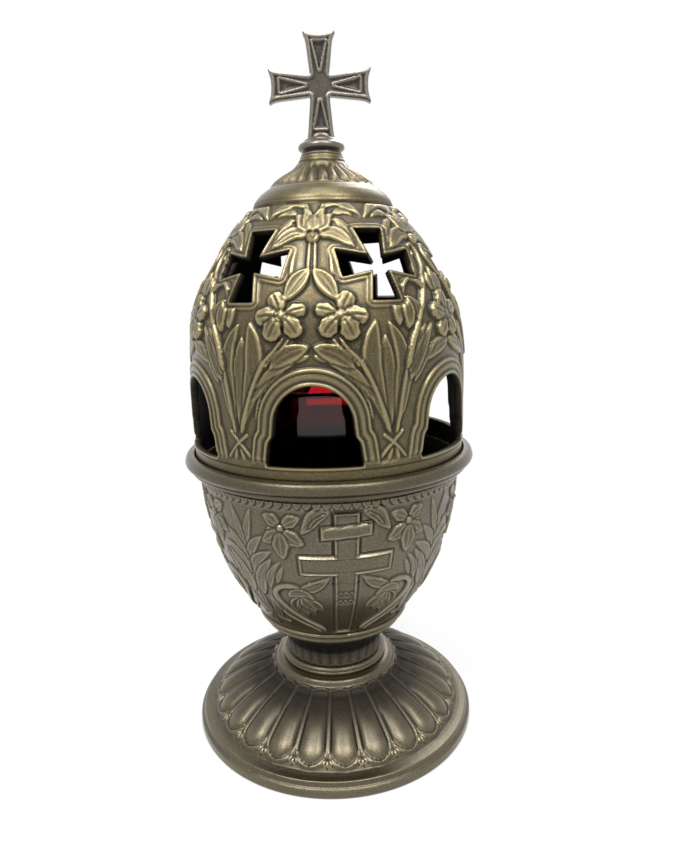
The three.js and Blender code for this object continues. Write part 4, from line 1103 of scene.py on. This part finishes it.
shoulder = from_corner(SHOULDER_RADIUS, SHOULDER_LEVEL, [
    (-0.3, 1.6), (-0.6, 0.9), (-0.1, 0.4), (-0.1, -0.2), (0.6, -1.3), (2, -2.8)])
lid_skin = respaced(
    softened(lid_band, 0.3)
    + [(r - 0.55, z) for r, z in dome_curve if SILL + 1 < z < SHOULDER_LEVEL - 2]
    + softened(shoulder + [(CROWN_RADIUS + 0.6, CROWN_EDGE)], 0.5), 0.2)
skin = np.array(lid_skin)
skin_climb = lengths_along(skin)


def averaged(values, width):
    """Values averaged over a width, their ends held."""
    padded = np.pad(values, width, mode="edge")
    return np.convolve(padded, np.ones(2 * width + 1) / (2 * width + 1), "valid")


def outward_of(line):
    """The direction straight out of a line at each of its points."""
    along = np.gradient(line, axis=0)
    along /= np.hypot(*along.T)[:, None]
    return np.stack([along[:, 1], -along[:, 0]], 1)


lining = np.stack([averaged(skin[:, 0], 14), averaged(skin[:, 1], 4)], 1)


def skin_radius(climb):
    return np.interp(climb, skin_climb, skin[:, 0])


def climb_of(level):
    return float(np.interp(level, skin[:, 1], skin_climb))


def arch_outline():
    """Half an arched window from its crown down to the middle of its sill, as (x, level)."""
    spring = SILL + ARCH_HEIGHT - ARCH_HALF_WIDTH
    shoulder = SILL + ARCH_SHOULDER_RISE
    crown = [(ARCH_HALF_WIDTH * math.sin(a), spring + ARCH_HALF_WIDTH * math.cos(a))
             for a in np.linspace(0, math.pi / 2, 22)]
    return crown + softened([
        (ARCH_HALF_WIDTH + 0.1, spring - 0.5), (ARCH_HALF_WIDTH + 0.4, shoulder + 1.8),
        (ARCH_SHOULDER_HALF_WIDTH, shoulder), (ARCH_FOOT_HALF_WIDTH, SILL + 0.4), (0, SILL + 0.4)], 0.5)


def window_loop(half, centre):
    """A closed loop of (angle, climb) points for a window that is alike on both sides."""
    right = respaced(half, WINDOW_SPACING)
    both = right + [(-x, y) for x, y in right[-2:0:-1]]
    return [(centre + math.degrees(math.asin(x / skin_radius(y))), y) for x, y in both]


def mirrored_half(half):
    """The whole window of which one half lies in the sheet."""
    edge = half[0][0]
    return half + [(2 * edge - a, c) for a, c in half[::-1]]


arch_half = [(x, climb_of(level)) for x, level in arch_outline()]
arch_loops = [window_loop(arch_half, centre) for centre in (0.0, 60.0)]
cross_climb = climb_of(CROSS_LEVEL)
end, waist, span = CROSS_END_HALF_WIDTH, CROSS_WAIST_HALF_WIDTH, CROSS_HALF_SPAN
cross_half = [(x, cross_climb + y) for x, y in (
    (0, span), (end, span), (waist, waist), (span, end), (span, -end), (waist, -waist), (end, -span),
    (0, -span))]
cross_loop = window_loop(cross_half, 30.0)
cross_halves = [
    [(centre + sign * math.degrees(x / skin_radius(y)), y) for x, y in respaced(cross_half, WINDOW_SPACING)]
    for centre, sign in ((LID_BEGIN, 1), (LID_END, -1))]


def within(points, polygon):
    """Which points lie inside a polygon."""
    inside = np.zeros(len(points), bool)
    for (ax, ay), (bx, by) in zip(polygon, np.roll(polygon, -1, 0)):
        crosses = (ay > points[:, 1]) != (by > points[:, 1])
        if ay != by:
            inside ^= crosses & (points[:, 0] < (bx - ax) * (points[:, 1] - ay) / (by - ay) + ax)
    return inside


def off_line(points, line, scale=1.0):
    """How far points lie off a closed line. Scale is how long a step of 1 across is."""
    best = np.full(len(points), 1e9)
    for (ax, ay), (bx, by) in zip(line, np.roll(line, -1, 0)):
        x, y = (points[:, 0] - ax) * scale, points[:, 1] - ay
        dx, dy = (bx - ax) * scale, by - ay
        t = np.clip((x * dx + y * dy) / np.maximum(dx * dx + dy * dy, 1e-9), 0, 1)
        best = np.minimum(best, np.hypot(x - t * dx, y - t * dy))
    return best


def off_windows(place, loops):
    """How far points of (angle, climb) lie off the nearest of a few windows' edges."""
    degree = math.radians(1) * skin_radius(place[:, 1])
    return np.min([off_line(place, loop, degree) for loop in loops], 0)


def pierced_sheet(spacing, ends, loops, halves):
    """Triangles over one period of the dome between two climbs, left open at its windows: its
    points as (angle, climb), its faces, and the place among them of each point of a window."""
    flat = math.radians(1) * DOME_RADIUS
    bottom, top = ends
    points, edges = [], []
    for line, closed in [(loop, True) for loop in loops] + [(half, False) for half in halves]:
        base, count = len(points), len(line)
        points += [Vector((a * flat, c)) for a, c in line]
        edges += [(base + i, base + (i + 1) % count) for i in range(count if closed else count - 1)]
    borders = len(points)
    tree = kdtree.KDTree(max(borders, 1))
    for i, p in enumerate(points):
        tree.insert((p.x, p.y, 0), i)
    tree.balance()
    side_climbs = [c for c in np.linspace(bottom, top, round((top - bottom) / spacing) + 1)
                   if all(abs(c - h[k][1]) > 0.3 * spacing for h in halves for k in (0, -1))]
    points += [Vector((a * flat, float(c))) for a in (LID_BEGIN, LID_END) for c in side_climbs]
    rows = np.linspace(bottom, top, round((top - bottom) / (spacing * 0.87)) + 1)
    for i, c in enumerate(rows):
        edge_row = i in (0, len(rows) - 1)
        pitch = 0.4 if edge_row else spacing
        count = max(4, round(LID_PERIOD * math.radians(1) * skin_radius(c) / pitch))
        offset = 0.0 if edge_row or i % 2 == 0 else 0.5
        for k in range(1, count):
            a = LID_BEGIN + (k + offset * (k < count - 1)) * LID_PERIOD / count
            if edge_row or not borders or tree.find((a * flat, c, 0))[2] > 0.62 * spacing:
                points.append(Vector((a * flat, float(c))))
    found, _, triangles, origins, _, _ = delaunay_2d_cdt(points, edges, [], 0, 1e-7)
    place = np.array([(p.x / flat, p.y) for p in found])
    triangles = np.array(triangles)
    index = {given: i for i, group in enumerate(origins) for given in group if given < borders}
    centre = place[triangles].mean(1)
    keep = np.ones(len(triangles), bool)
    for polygon in loops + [mirrored_half(h) for h in halves]:
        keep &= ~within(centre, np.array(polygon))
    return place, triangles[keep], index


def upper_growth(leaf):
    """What both patterns share over the crosses: long leaves that arch away from a bud."""
    leaf([(9, 170.8), (13, 171.1), (18, 168.2), (21.6, 164)], 3.0, 0.8)
    leaf([(2.6, 166.4), (8, 167.6), (13.4, 166.7), (21, 162.9)], 4.8, 1.15)
    leaf([(10.5, 172.8), (17, 173.8), (24, 172.4)], 3.0, 0.8)
    leaf([(4.6, 174.6), (12.5, 176.4), (21.5, 175.2), (29.6, 172)], 3.8, 1.05)
    leaf([(1.6, 167.8), (5.2, 169.3), (7.4, 171.6), (11.8, 172.8)], 3.8, 1.35, swell=0.95)


def front_pattern(relief, middle):
    """Lilies over an arch, with a hanging lily and stems between the crosses."""
    for side in (-1, 1):
        leaf, cord = relief.mirrored(middle, side)
        leaf([(8, 132.2), (13.5, 128.8), (18.4, 123.8), (22, 116.4)], 2.6, 0.8)
        leaf([(12.6, 131), (18.4, 127), (23.2, 121.6), (26.4, 114.4)], 3.0, 0.9)
        leaf([(5.8, 133), (11.5, 131.6), (16.6, 129.2), (22, 125)], 3.0, 1.0)
        leaf([(0.8, 134.8), (4.6, 134), (9.4, 132.8)], 2.2, 0.8)
        leaf([(0.6, 137.2), (5, 136.2), (9.4, 134.8), (15.6, 131.2)], 5.2, 1.25, swell=0.9)
        cord([(10.4, 139.4), (13, 136.4), (16.6, 133.6), (19.4, 130.2), (22.2, 125.6), (25.6, 118.6),
              (27.6, 113)], 1.7, 1.05)
        cord([(7.6, 139.4), (10.6, 136.8), (14, 134.4), (17, 131.6)], 1.2, 0.9)
        cord([(8.5, 154.8), (8.7, 164)], 1.5, 0.6)
        cord([(1.4, 157), (1.3, 165)], 1.5, 0.85)
        petals = [(3.3, 6.4, 5.8, 0.4, 0.9), (-6.9, 2.0, 4.6, -0.4, 0.85), (7.6, -0.6, 5.6, 0.3, 1.0),
                  (-4.9, -5.5, 5.7, -0.4, 1.0), (3.4, -6.6, 5.9, 0.3, 1.1)]
        relief.flower(middle + side * 10.8, 145.3, petals, 1.25, 1.6, side, **LILY)
        leaf([(0.2, 157.6), (3.4, 155.9), (6.8, 153), (10.2, 149)], 5.4, 1.3, swell=0.9, face=0.5,
             groove=0.35)
        upper_growth(leaf)
        leaf([(0.8, 168), (3, 170.4), (3.6, 172.8), (7.4, 175)], 3.4, 1.4, swell=0.95)
        cord([(0.2, 172.2), (3.2, 174), (5.4, 176)], 1.1, 0.9)
    relief.leaf([(middle, 167.6), (middle, 170), (middle, 172.8)], 3.8, 1.2)
    relief.knob(middle, 166.1, 2.0, 1.5)
    relief.knob(middle, 166.1, 0.9, 2.0)


def side_pattern(relief, middle):
    """An open lily over an arch, with arching stems and drooping bells under the crosses."""
    for side in (-1, 1):
        leaf, cord = relief.mirrored(middle, side)
        leaf([(0.6, 137.2), (5, 136.4), (9.4, 135), (14.6, 131.8)], 4.8, 1.1)
        leaf([(21, 126.4), (18.2, 130.6), (13.6, 134.6), (8.4, 137.6)], 3.2, 1.0)
        leaf([(23.4, 127), (19.6, 132.8), (15.4, 137.4), (9.6, 142.8)], 4.4, 1.15)
        leaf([(24, 129), (20.4, 135.4), (17, 139.6), (12.8, 142.6)], 3.4, 1.0)
        cord([(24.6, 130.6), (21.4, 137.4), (18, 142.4), (14.4, 147), (11.4, 151), (8.4, 155.6)], 2.1, 1.4)
        cord([(10.8, 151.6), (13.8, 154), (17.6, 154.6), (21.6, 152.6), (23.4, 149.8)], 1.8, 1.3)
        leaf([(23, 150.6), (26, 147.4), (26.4, 142)], 3.6, 1.35, **BELL)
        leaf([(21.4, 150.2), (18, 147.2), (17.6, 142.6)], 3.6, 1.35, **BELL)
        leaf([(22.6, 150.6), (21.8, 146.6), (22.4, 141)], 4.2, 1.6, **BELL)
        cord([(8.4, 155.4), (5, 158.2), (3.6, 161.6), (5.2, 164.4), (8.4, 163.6), (8, 161)], 1.5, 0.95)
        leaf([(0.6, 150.8), (3.4, 153.2), (4.4, 156.8)], 3.4, 1.0)
        upper_growth(leaf)
    relief.leaf([(middle, 148), (middle, 153), (middle, 158.4)], 4.4, 1.15)
    petals = [(7.2 * math.sin(math.radians(a)), 7.2 * math.cos(math.radians(a)), 5.6, 0.3,
               0.9 + 0.1 * (a % 144 == 0)) for a in (72, 216, 0, 144, 288)]
    relief.flower(middle, 144.4, petals, 1.3, 1.6, **LILY)
    relief.leaf([(middle, 167.6), (middle, 171), (middle, 174.6)], 3.8, 1.15)
    relief.knob(middle, 166.1, 2.0, 1.4)


def pier_pattern(relief, middle, side):
    """Tall blades between two arches. One side leans to the lilies, the other to the bells."""
    leaf, cord = relief.mirrored(middle, side)
    cord([(-9.4, 112.6), (-9.2, 118), (-9.8, 122.8)], 1.1, 0.6)
    leaf([(-1.2, 113), (-2.4, 120), (-3.2, 127), (-3, 133), (-2.6, 140)], 6.6, 0.7, swell=1.25, vein=0.06,
         face=0.7)
    leaf([(0.2, 112.6), (1, 120), (2.6, 127), (3.8, 132), (2.8, 137.6), (-1, 143.6)], 4.8, 0.95, **BLADE)
    leaf([(-2, 114), (-4.4, 121), (-7, 127.6), (-8.4, 132), (-8, 138), (-5.8, 144)], 5.8, 1.0, **BLADE)
    leaf([(3.4, 117.4), (5.2, 124), (8, 128.6), (12.4, 132.6)], 2.4, 0.8)
    leaf([(1.6, 115), (3.8, 122.4), (6.2, 129.4), (10.6, 135), (14.8, 136.4)], 3.0, 0.95)
    cord([(0.8, 112.4), (2.4, 120), (4.6, 128), (6.6, 134.4), (9.4, 138.6)], 1.4, 0.9)
    cord([(-1.8, 112.4), (-3.2, 117.4), (-6.4, 121.4), (-10.6, 124)], 1.3, 0.8)
    cord([(-6.6, 104.8), (-3.6, 107.4), (-0.6, 109.8), (3.8, 113.2)], 1.3, 0.65)
    cord([(5.2, 104.8), (2.4, 107.4), (-0.6, 109.8), (-4.6, 112.4)], 1.3, 0.65)
    for a in (-2.6, 1.8):
        leaf([(a, 104.2), (a * 0.7, 106.4), (a * 0.2, 108.4)], 1.8, 0.5)


def moulding(off, profile):
    """How high a moulding stands at a distance off its line, from (distance, height) pairs."""
    distances, heights = zip(*profile)
    return np.interp(off, distances, heights)


def carved_lid(place):
    """How high the relief stands at points of (angle, climb)."""
    relief = Relief(place[:, 0], place[:, 1], lid_skin, LID_PERIOD)
    for middle, side in ((30, 1), (-30, -1), (90, -1)):
        pier_pattern(relief, middle, side)
    front_pattern(relief, 0)
    side_pattern(relief, 60)
    arch_off = off_windows(place, arch_loops)
    over_arch = (arch_off < ARCHIVOLT[-1][0]) * np.clip((relief.level - SILL - 0.5) / 0.5, 0, 1)
    height = moulding(arch_off, ARCHIVOLT) * over_arch + relief.height * (1 - over_arch)
    cross_off = off_windows(place, [cross_loop] + [mirrored_half(half) for half in cross_halves])
    frame_height = moulding(cross_off, CROSS_FRAME)
    height = np.where(cross_off < CROSS_FRAME[-1][0], np.maximum(height, frame_height), height)
    height = np.where(cross_off < 1.6, frame_height, height)
    return (height * np.clip((relief.level - SILL - 0.3) / 2.4, 0, 1)
            * np.clip((SHOULDER_LEVEL - 1.9 - relief.level) / 0.8, 0, 1))


def dome_points(place, line, height):
    """Points of (angle, climb) set on a turned surface, raised by a height."""
    angle, climb = np.radians(place[:, 0]), place[:, 1]
    out, up = outward_of(line).T
    radius = np.interp(climb, skin_climb, line[:, 0]) + height * np.interp(climb, skin_climb, out)
    level = np.interp(climb, skin_climb, line[:, 1]) + height * np.interp(climb, skin_climb, up)
    return np.stack([radius * np.sin(angle), -radius * np.cos(angle), level], 1)


def bridge(loops, halves, ends, outer, inner):
    """Faces that join skin and lining along each line both of them have."""
    outer_place, _, outer_index = outer
    inner_place, _, inner_index = inner
    base = len(outer_place)
    joined, start = [], 0
    for line, closed in [(loop, True) for loop in loops] + [(half, False) for half in halves]:
        given = list(range(start, start + len(line)))
        start += len(line)
        joined += [(outer_index[a], outer_index[b], base + inner_index[b], base + inner_index[a])
                   for a, b in zip(given, given[1:] + given[:1] * closed)]
    for climb in ends:
        outside, inside = [
            sorted(np.nonzero(np.abs(place[:, 1] - climb) < 1e-5)[0].tolist(), key=lambda i: place[i, 0])
            for place in (outer_place, inner_place)]
        joined += [(outside[k], outside[k + 1], base + inside[k + 1], base + inside[k])
                   for k in range(len(outside) - 1)]
    return joined


def lid_ring(name, ends, loops, halves):
    """A closed ring of the lid: carved skin, plain lining in near-black painted shade, and the windows'
    edges.
    """
    outer = pierced_sheet(LID_SPACING, ends, loops, halves)
    inner = pierced_sheet(LINING_SPACING, ends, loops, halves)
    place, triangles, _ = outer
    inner_place, inner_triangles, _ = inner
    seams = [(0, LID_BEGIN), (0, LID_END), (1, ends[0]), (1, ends[1])]
    on_seam = np.any([np.abs(place[:, axis] - value) < 1e-5 for axis, value in seams], 0)
    links = np.vstack([triangles[:, [0, 1]], triangles[:, [1, 2]], triangles[:, [2, 0]]])
    height = carved_lid(place)
    height = np.where(on_seam, height, 0.4 * height + 0.6 * evened(height, links, 1))
    outer_points = dome_points(place, skin, height)
    inner_points = dome_points(inner_place, lining, 0.3 - LID_WALL)
    faces = (triangles.tolist() + (inner_triangles[:, ::-1] + len(place)).tolist()
             + bridge(loops, halves, ends, outer, inner))
    blank = new_piece(name + "_blank", np.vstack([outer_points, inner_points]).tolist(), faces)
    sunk = np.clip((evened(height, links, 6) - height) / 0.2, -1, 1)
    level = np.interp(place[:, 1], skin_climb, skin[:, 1])
    # A painted highlight along each arch's sill: these points count as edges, which the paint lightens.
    on_sill = (off_windows(place, arch_loops) < 0.5) & (level < SILL + 0.8)
    sunk = np.where(on_sill, -1, sunk)
    set_values(blank, "sunk", np.concatenate([sunk, np.zeros(len(inner_place))]))
    # The lining is painted near black: painted shade inside the lid.
    set_values(blank, "painted_shade", np.repeat([0.0, 0.95], [len(place), len(inner_place)]))
    piece = repeated(blank, name, 360 // LID_PERIOD, 0.0, lid_bronze_warm_lit)
    face_outwards(piece)
    finish_casting(piece, "cover", "lid", crease=65)


parting_climb = climb_of(LID_PARTING)
lid_ring("lid_arches", (0.0, parting_climb), arch_loops, [])
lid_ring("lid_crosses", (parting_climb, float(skin_climb[-1])), [cross_loop], cross_halves)

on_crown = between((CROWN_NECK_RADIUS, CROWN_RADIUS), (CROWN_EDGE, CROWN_TOP))
crown_edge = from_corner(CROWN_RADIUS, CROWN_EDGE, [(-0.6, 0.1), (0, -0.3), (0.6, -0.8)])
crown_slope = smooth_curve([
    on_crown(0.93, 0.11), on_crown(0.8, 0.265), on_crown(0.552, 0.441), on_crown(0.248, 0.627),
    on_crown(0.105, 0.784)], 6)
crown_neck = from_corner(CROWN_NECK_RADIUS, CROWN_TOP, [(-0.6, 1.9), (-0.5, 1.2), (0, 0.7), (0, 0)])
crown_inside = risen(CROWN_TOP, [(2.4, 0), (2.4, -3.6), (6.2, -3.6), (10, -6.8)]) + [(15.4, CROWN_EDGE - 0.2)]
crown_outline = (
    [(15.4, SHOULDER_LEVEL + 2.0), (CROWN_RADIUS + 0.3, SHOULDER_LEVEL + 2.4)]
    + softened(crown_edge, 0.3)
    + respaced(crown_slope, 0.4)
    + softened(crown_neck + crown_inside, 0.3))


def crown_share(radius, level):
    """The crown's flutes lie between its edge and its neck, and fade out at both."""
    rise = level - CROWN_EDGE
    if radius < 8.2 or not 0.9 < rise < 7.4:
        return 0.0
    return min(1.0, (rise - 0.9) / 0.8, (7.4 - rise) / 3)


lid_crown = fluted("lid_crown", crown_outline, CROWN_FLUTES * CROWN_FLUTE_STEPS, crown_share, lid_bronze_warm_lit, {
    "Flutes": CROWN_FLUTES, "Sharpness": 1.4, "Depth": 0.0009})
finish_casting(lid_crown, "cover", "lid")

# Finial
# A flared cross cast in one with its ringed collar and stud. Each arm has a raised border and
# a sunk triangle on both faces. A washer and nut inside the crown hold the stud.

FINIAL_TURN = 5.5
FINIAL_CENTRE = CROWN_TOP + 20.7
FINIAL_BOTTOM = CROWN_TOP + 3.6
FINIAL_ARMS = (15.3, 15.9, FINIAL_CENTRE - FINIAL_BOTTOM, 15.9)
FINIAL_END = 4.95
FINIAL_WAIST = 3.0
FINIAL_HALF_THICKNESS = 1.9
FINIAL_SPACING = 0.32
TRIANGLE = ((0, 4.5), (1.85, 12.3), (-1.85, 12.3))
TRIANGLE_PROFILE = ((-0.9, -0.85), (-0.35, -0.7), (0.05, -0.25), (0.3, 0.0), (0.6, 0.0), (0.95, -0.5))
BORDER_PROFILE = (
    (0, -0.75), (0.15, -0.3), (0.45, -0.04), (0.8, 0.0), (1.1, -0.12), (1.35, -0.42), (1.6, -0.5))
BOSS_PROFILE = ((-1.5, 0.0), (-0.4, -0.1), (0.3, -0.45))


def arm_turned(point, quarter):
    """A point of the cross, turned by quarters about its centre."""
    x, z = point
    for _ in range(quarter):
        x, z = z, -x
    return x, z


def finial_outline():
    """The cross's edge, arm by arm, with waisted sides and hollow horned ends."""
    outline = []
    for quarter, length in enumerate(FINIAL_ARMS):
        side = smooth_curve([(FINIAL_WAIST, FINIAL_WAIST + 0.4), (FINIAL_WAIST + 0.5, length * 0.5),
                             (FINIAL_END - 0.8, length - 2.4), (FINIAL_END + 0.05, length - 0.3)], 6)
        end_curve = smooth_curve([(FINIAL_END - 0.2, length), (2.4, length - 0.75), (0, length - 0.95)], 4)
        right = [(-x, z) for x, z in side + end_curve]
        outline += [arm_turned(p, quarter) for p in right + [(-x, z) for x, z in right[-2::-1]]]
    return respaced(outline + outline[:1], 0.4)[:-1]


def signed_off(points, line):
    """How far points lie off a closed line, counted below zero inside it."""
    return off_line(points, line) * np.where(within(points, line), -1, 1)


def finial_depth(place, edge):
    """How far the faces of the cross lie under its half thickness."""
    depth = moulding(off_line(place, edge), BORDER_PROFILE)
    for quarter in range(4):
        off = signed_off(place, np.array([arm_turned(p, quarter) for p in TRIANGLE]))
        shape = moulding(off, TRIANGLE_PROFILE)
        depth = np.where(off < 0.95, np.where(off < 0.1, shape, np.maximum(depth, shape)), depth)
    boss = np.array([(3.3 * math.cos(math.radians(a)), 3.6 * math.sin(math.radians(a)) - 17.2)
                     for a in range(0, 360, 12)])
    off = signed_off(place, boss)
    return np.where(off < 0.3, moulding(off, BOSS_PROFILE), depth)


def cross_plate(name, edge):
    """The cross with the same relief on both faces, its centre on the lamp's axis."""
    grid_x, grid_z = np.meshgrid(
        np.arange(-17, 17.01, FINIAL_SPACING), np.arange(-18, 17.01, FINIAL_SPACING), indexing="ij")
    grid = np.stack([grid_x.ravel(), grid_z.ravel()], 1)
    inside = within(grid, edge) & (off_line(grid, edge) > 0.22)
    points = [Vector(p) for p in edge.tolist() + grid[inside].tolist()]
    ring_edges = [(i, (i + 1) % len(edge)) for i in range(len(edge))]
    found, _, triangles, origins, _, _ = delaunay_2d_cdt(points, ring_edges, [], 0, 1e-7)
    place = np.array([tuple(p) for p in found])
    triangles = np.array(triangles)
    triangles = triangles[within(place[triangles].mean(1), edge)]
    half, count = FINIAL_HALF_THICKNESS + finial_depth(place, edge), len(place)
    x, z = place[:, 0], place[:, 1] + FINIAL_CENTRE
    vertices = np.vstack([np.stack([x, -half, z], 1), np.stack([x, half, z], 1)])
    rim = [next(i for i, group in enumerate(origins) if k in group) for k in range(len(edge))]
    walls = [(a, b, count + b, count + a) for a, b in zip(rim, rim[1:] + rim[:1])]
    return new_piece(name, vertices.tolist(),
                     triangles.tolist() + (triangles[:, ::-1] + count).tolist() + walls)


finial = cross_plate("finial_cross_plate", np.array(finial_outline()))
finial.data.transform(Matrix.Rotation(math.radians(FINIAL_TURN), 4, "Z"))
face_outwards(finial)
grey_bronze = bronze_paint(
    "grey_bronze", (0.036, 0.032, 0.025, 1), (0.15, 0.132, 0.104, 1), (0.36, 0.32, 0.26, 1))
finial.data.materials.append(grey_bronze)
finish_casting(finial, "cover", "finial_cross", crease=70, rounds=4, depth=0.2)

stud_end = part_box("finial_cross")[0].z * 1000
collar_outline = softened([(0, stud_end), (1.6, stud_end), (2, stud_end + 0.4)] + risen(CROWN_TOP, [
    (2, 0), (6.3, 0), (6.6, 0.5), (6.4, 1.0), (5.9, 1.3), (6.3, 1.6), (7.2, 2.1), (7.4, 2.8), (7.1, 3.6),
    (6.3, 4.1), (5.7, 4.4), (5.1, 5.2), (3.6, 5.9), (0, 6.1)]), 0.5)
collar = turned("finial_collar", collar_outline, 96, closed=False)
collar.data.materials.append(grey_bronze)
finish_casting(collar, "cover", "finial_cross")
repaint(steel, "finial_washer", "finial_nut")

# Studio
# A plain white sweep with large soft lamps, seen from where the photograph was taken.


def seen_directly(tree):
    """1 for rays from the camera, also by way of glass or a mirror, and 0 for scattered light."""
    path = add_node(tree, "ShaderNodeLightPath", output="Is Camera Ray")
    return calc("MAXIMUM", path, calc("MAXIMUM", path["Is Glossy Ray"], path["Is Transmission Ray"]))


def white_sweep(name):
    """White paper that stays white to the camera and keeps the object's soft shadow near it."""
    material, place = bare_material(name)
    tree = material.node_tree
    distance = add_node(tree, "ShaderNodeVectorMath", {"Vector": place}, "Value", operation="LENGTH")
    bare = ranged(distance, 0.06, 0.3, (0.62, 1.0), interpolation_type="SMOOTHSTEP")
    glow = add_node(tree, "ShaderNodeEmission", {"Color": (1, 1, 1, 1), "Strength": 1.0})
    paper = Output(tree.nodes["Principled BSDF"].outputs[0])
    blend = add_node(tree, "ShaderNodeMixShader", {0: seen_directly(tree) * bare, 1: paper, 2: glow})
    feed(tree, tree.nodes["Material Output"].inputs, {"Surface": blend})
    return shaded(material, {"Base Color": (0.9, 0.9, 0.9, 1), "Roughness": 0.9, "Specular IOR Level": 0.1})


floor = new_piece("floor", [(-3000, -3000, 0), (3000, -3000, 0), (3000, 3000, 0), (-3000, 3000, 0)],
                  [(0, 1, 2, 3)])
floor.data.materials.append(white_sweep("white_sweep"))

world = bpy.data.worlds.new("studio")
bpy.context.scene.world = world
world.use_nodes = True
feed(world.node_tree, world.node_tree.nodes["Background"].inputs, {
    "Color": (1, 1, 1, 1), "Strength": 0.35 + seen_directly(world.node_tree) * 0.65})


def soft_lamp(name, place, size, power):
    """A square soft box that looks at the middle of the lamp."""
    data = bpy.data.lights.new(name, "AREA")
    data.size = size
    data.energy = power
    lamp = bpy.data.objects.new(name, data)
    lamp.location = place
    lamp.rotation_euler = (Vector((0, 0, 0.12)) - Vector(place)).to_track_quat("-Z", "Y").to_euler()
    bpy.context.scene.collection.objects.link(lamp)


soft_lamp("left key", (-0.32, -0.5, 0.98), 0.35, 7)
soft_lamp("right key", (0.36, -0.46, 0.98), 0.35, 6)
soft_lamp("back", (0.1, 0.7, 0.8), 0.5, 4)
soft_lamp("top", (0.0, -0.12, 1.2), 0.4, 3)

CAMERA_PLACE = Vector((20.93, -217.0, 153.2)) / 1000
CAMERA_PITCH = math.radians(12.16)
CAMERA_YAW = math.radians(0.81)
CAMERA_ROLL = math.radians(-1.32)
CAMERA_SIDE = math.radians(5.51)
CAMERA_LENS = 27.36

pitch, yaw, roll = CAMERA_PITCH, CAMERA_YAW, CAMERA_ROLL
ahead = Vector((math.sin(yaw) * math.cos(pitch), math.cos(yaw) * math.cos(pitch), -math.sin(pitch)))
right = Vector((math.cos(yaw), -math.sin(yaw), 0))
up = Vector((math.sin(yaw) * math.sin(pitch), math.cos(yaw) * math.sin(pitch), math.cos(pitch)))
rolled_right = math.cos(roll) * right + math.sin(roll) * up
rolled_up = math.cos(roll) * up - math.sin(roll) * right
axes = Matrix((rolled_right, rolled_up, -ahead)).transposed()
axes = Matrix.Rotation(CAMERA_SIDE, 3, "Z") @ axes
camera_data = bpy.data.cameras.new("camera")
camera_data.lens = CAMERA_LENS
camera_data.sensor_width = 36
camera_data.clip_start = 0.01
camera = bpy.data.objects.new("camera", camera_data)
camera.matrix_world = Matrix.Translation(CAMERA_PLACE) @ axes.to_4x4()
bpy.context.scene.collection.objects.link(camera)
bpy.context.scene.camera = camera
bpy.context.scene.view_settings.view_transform = "Standard"
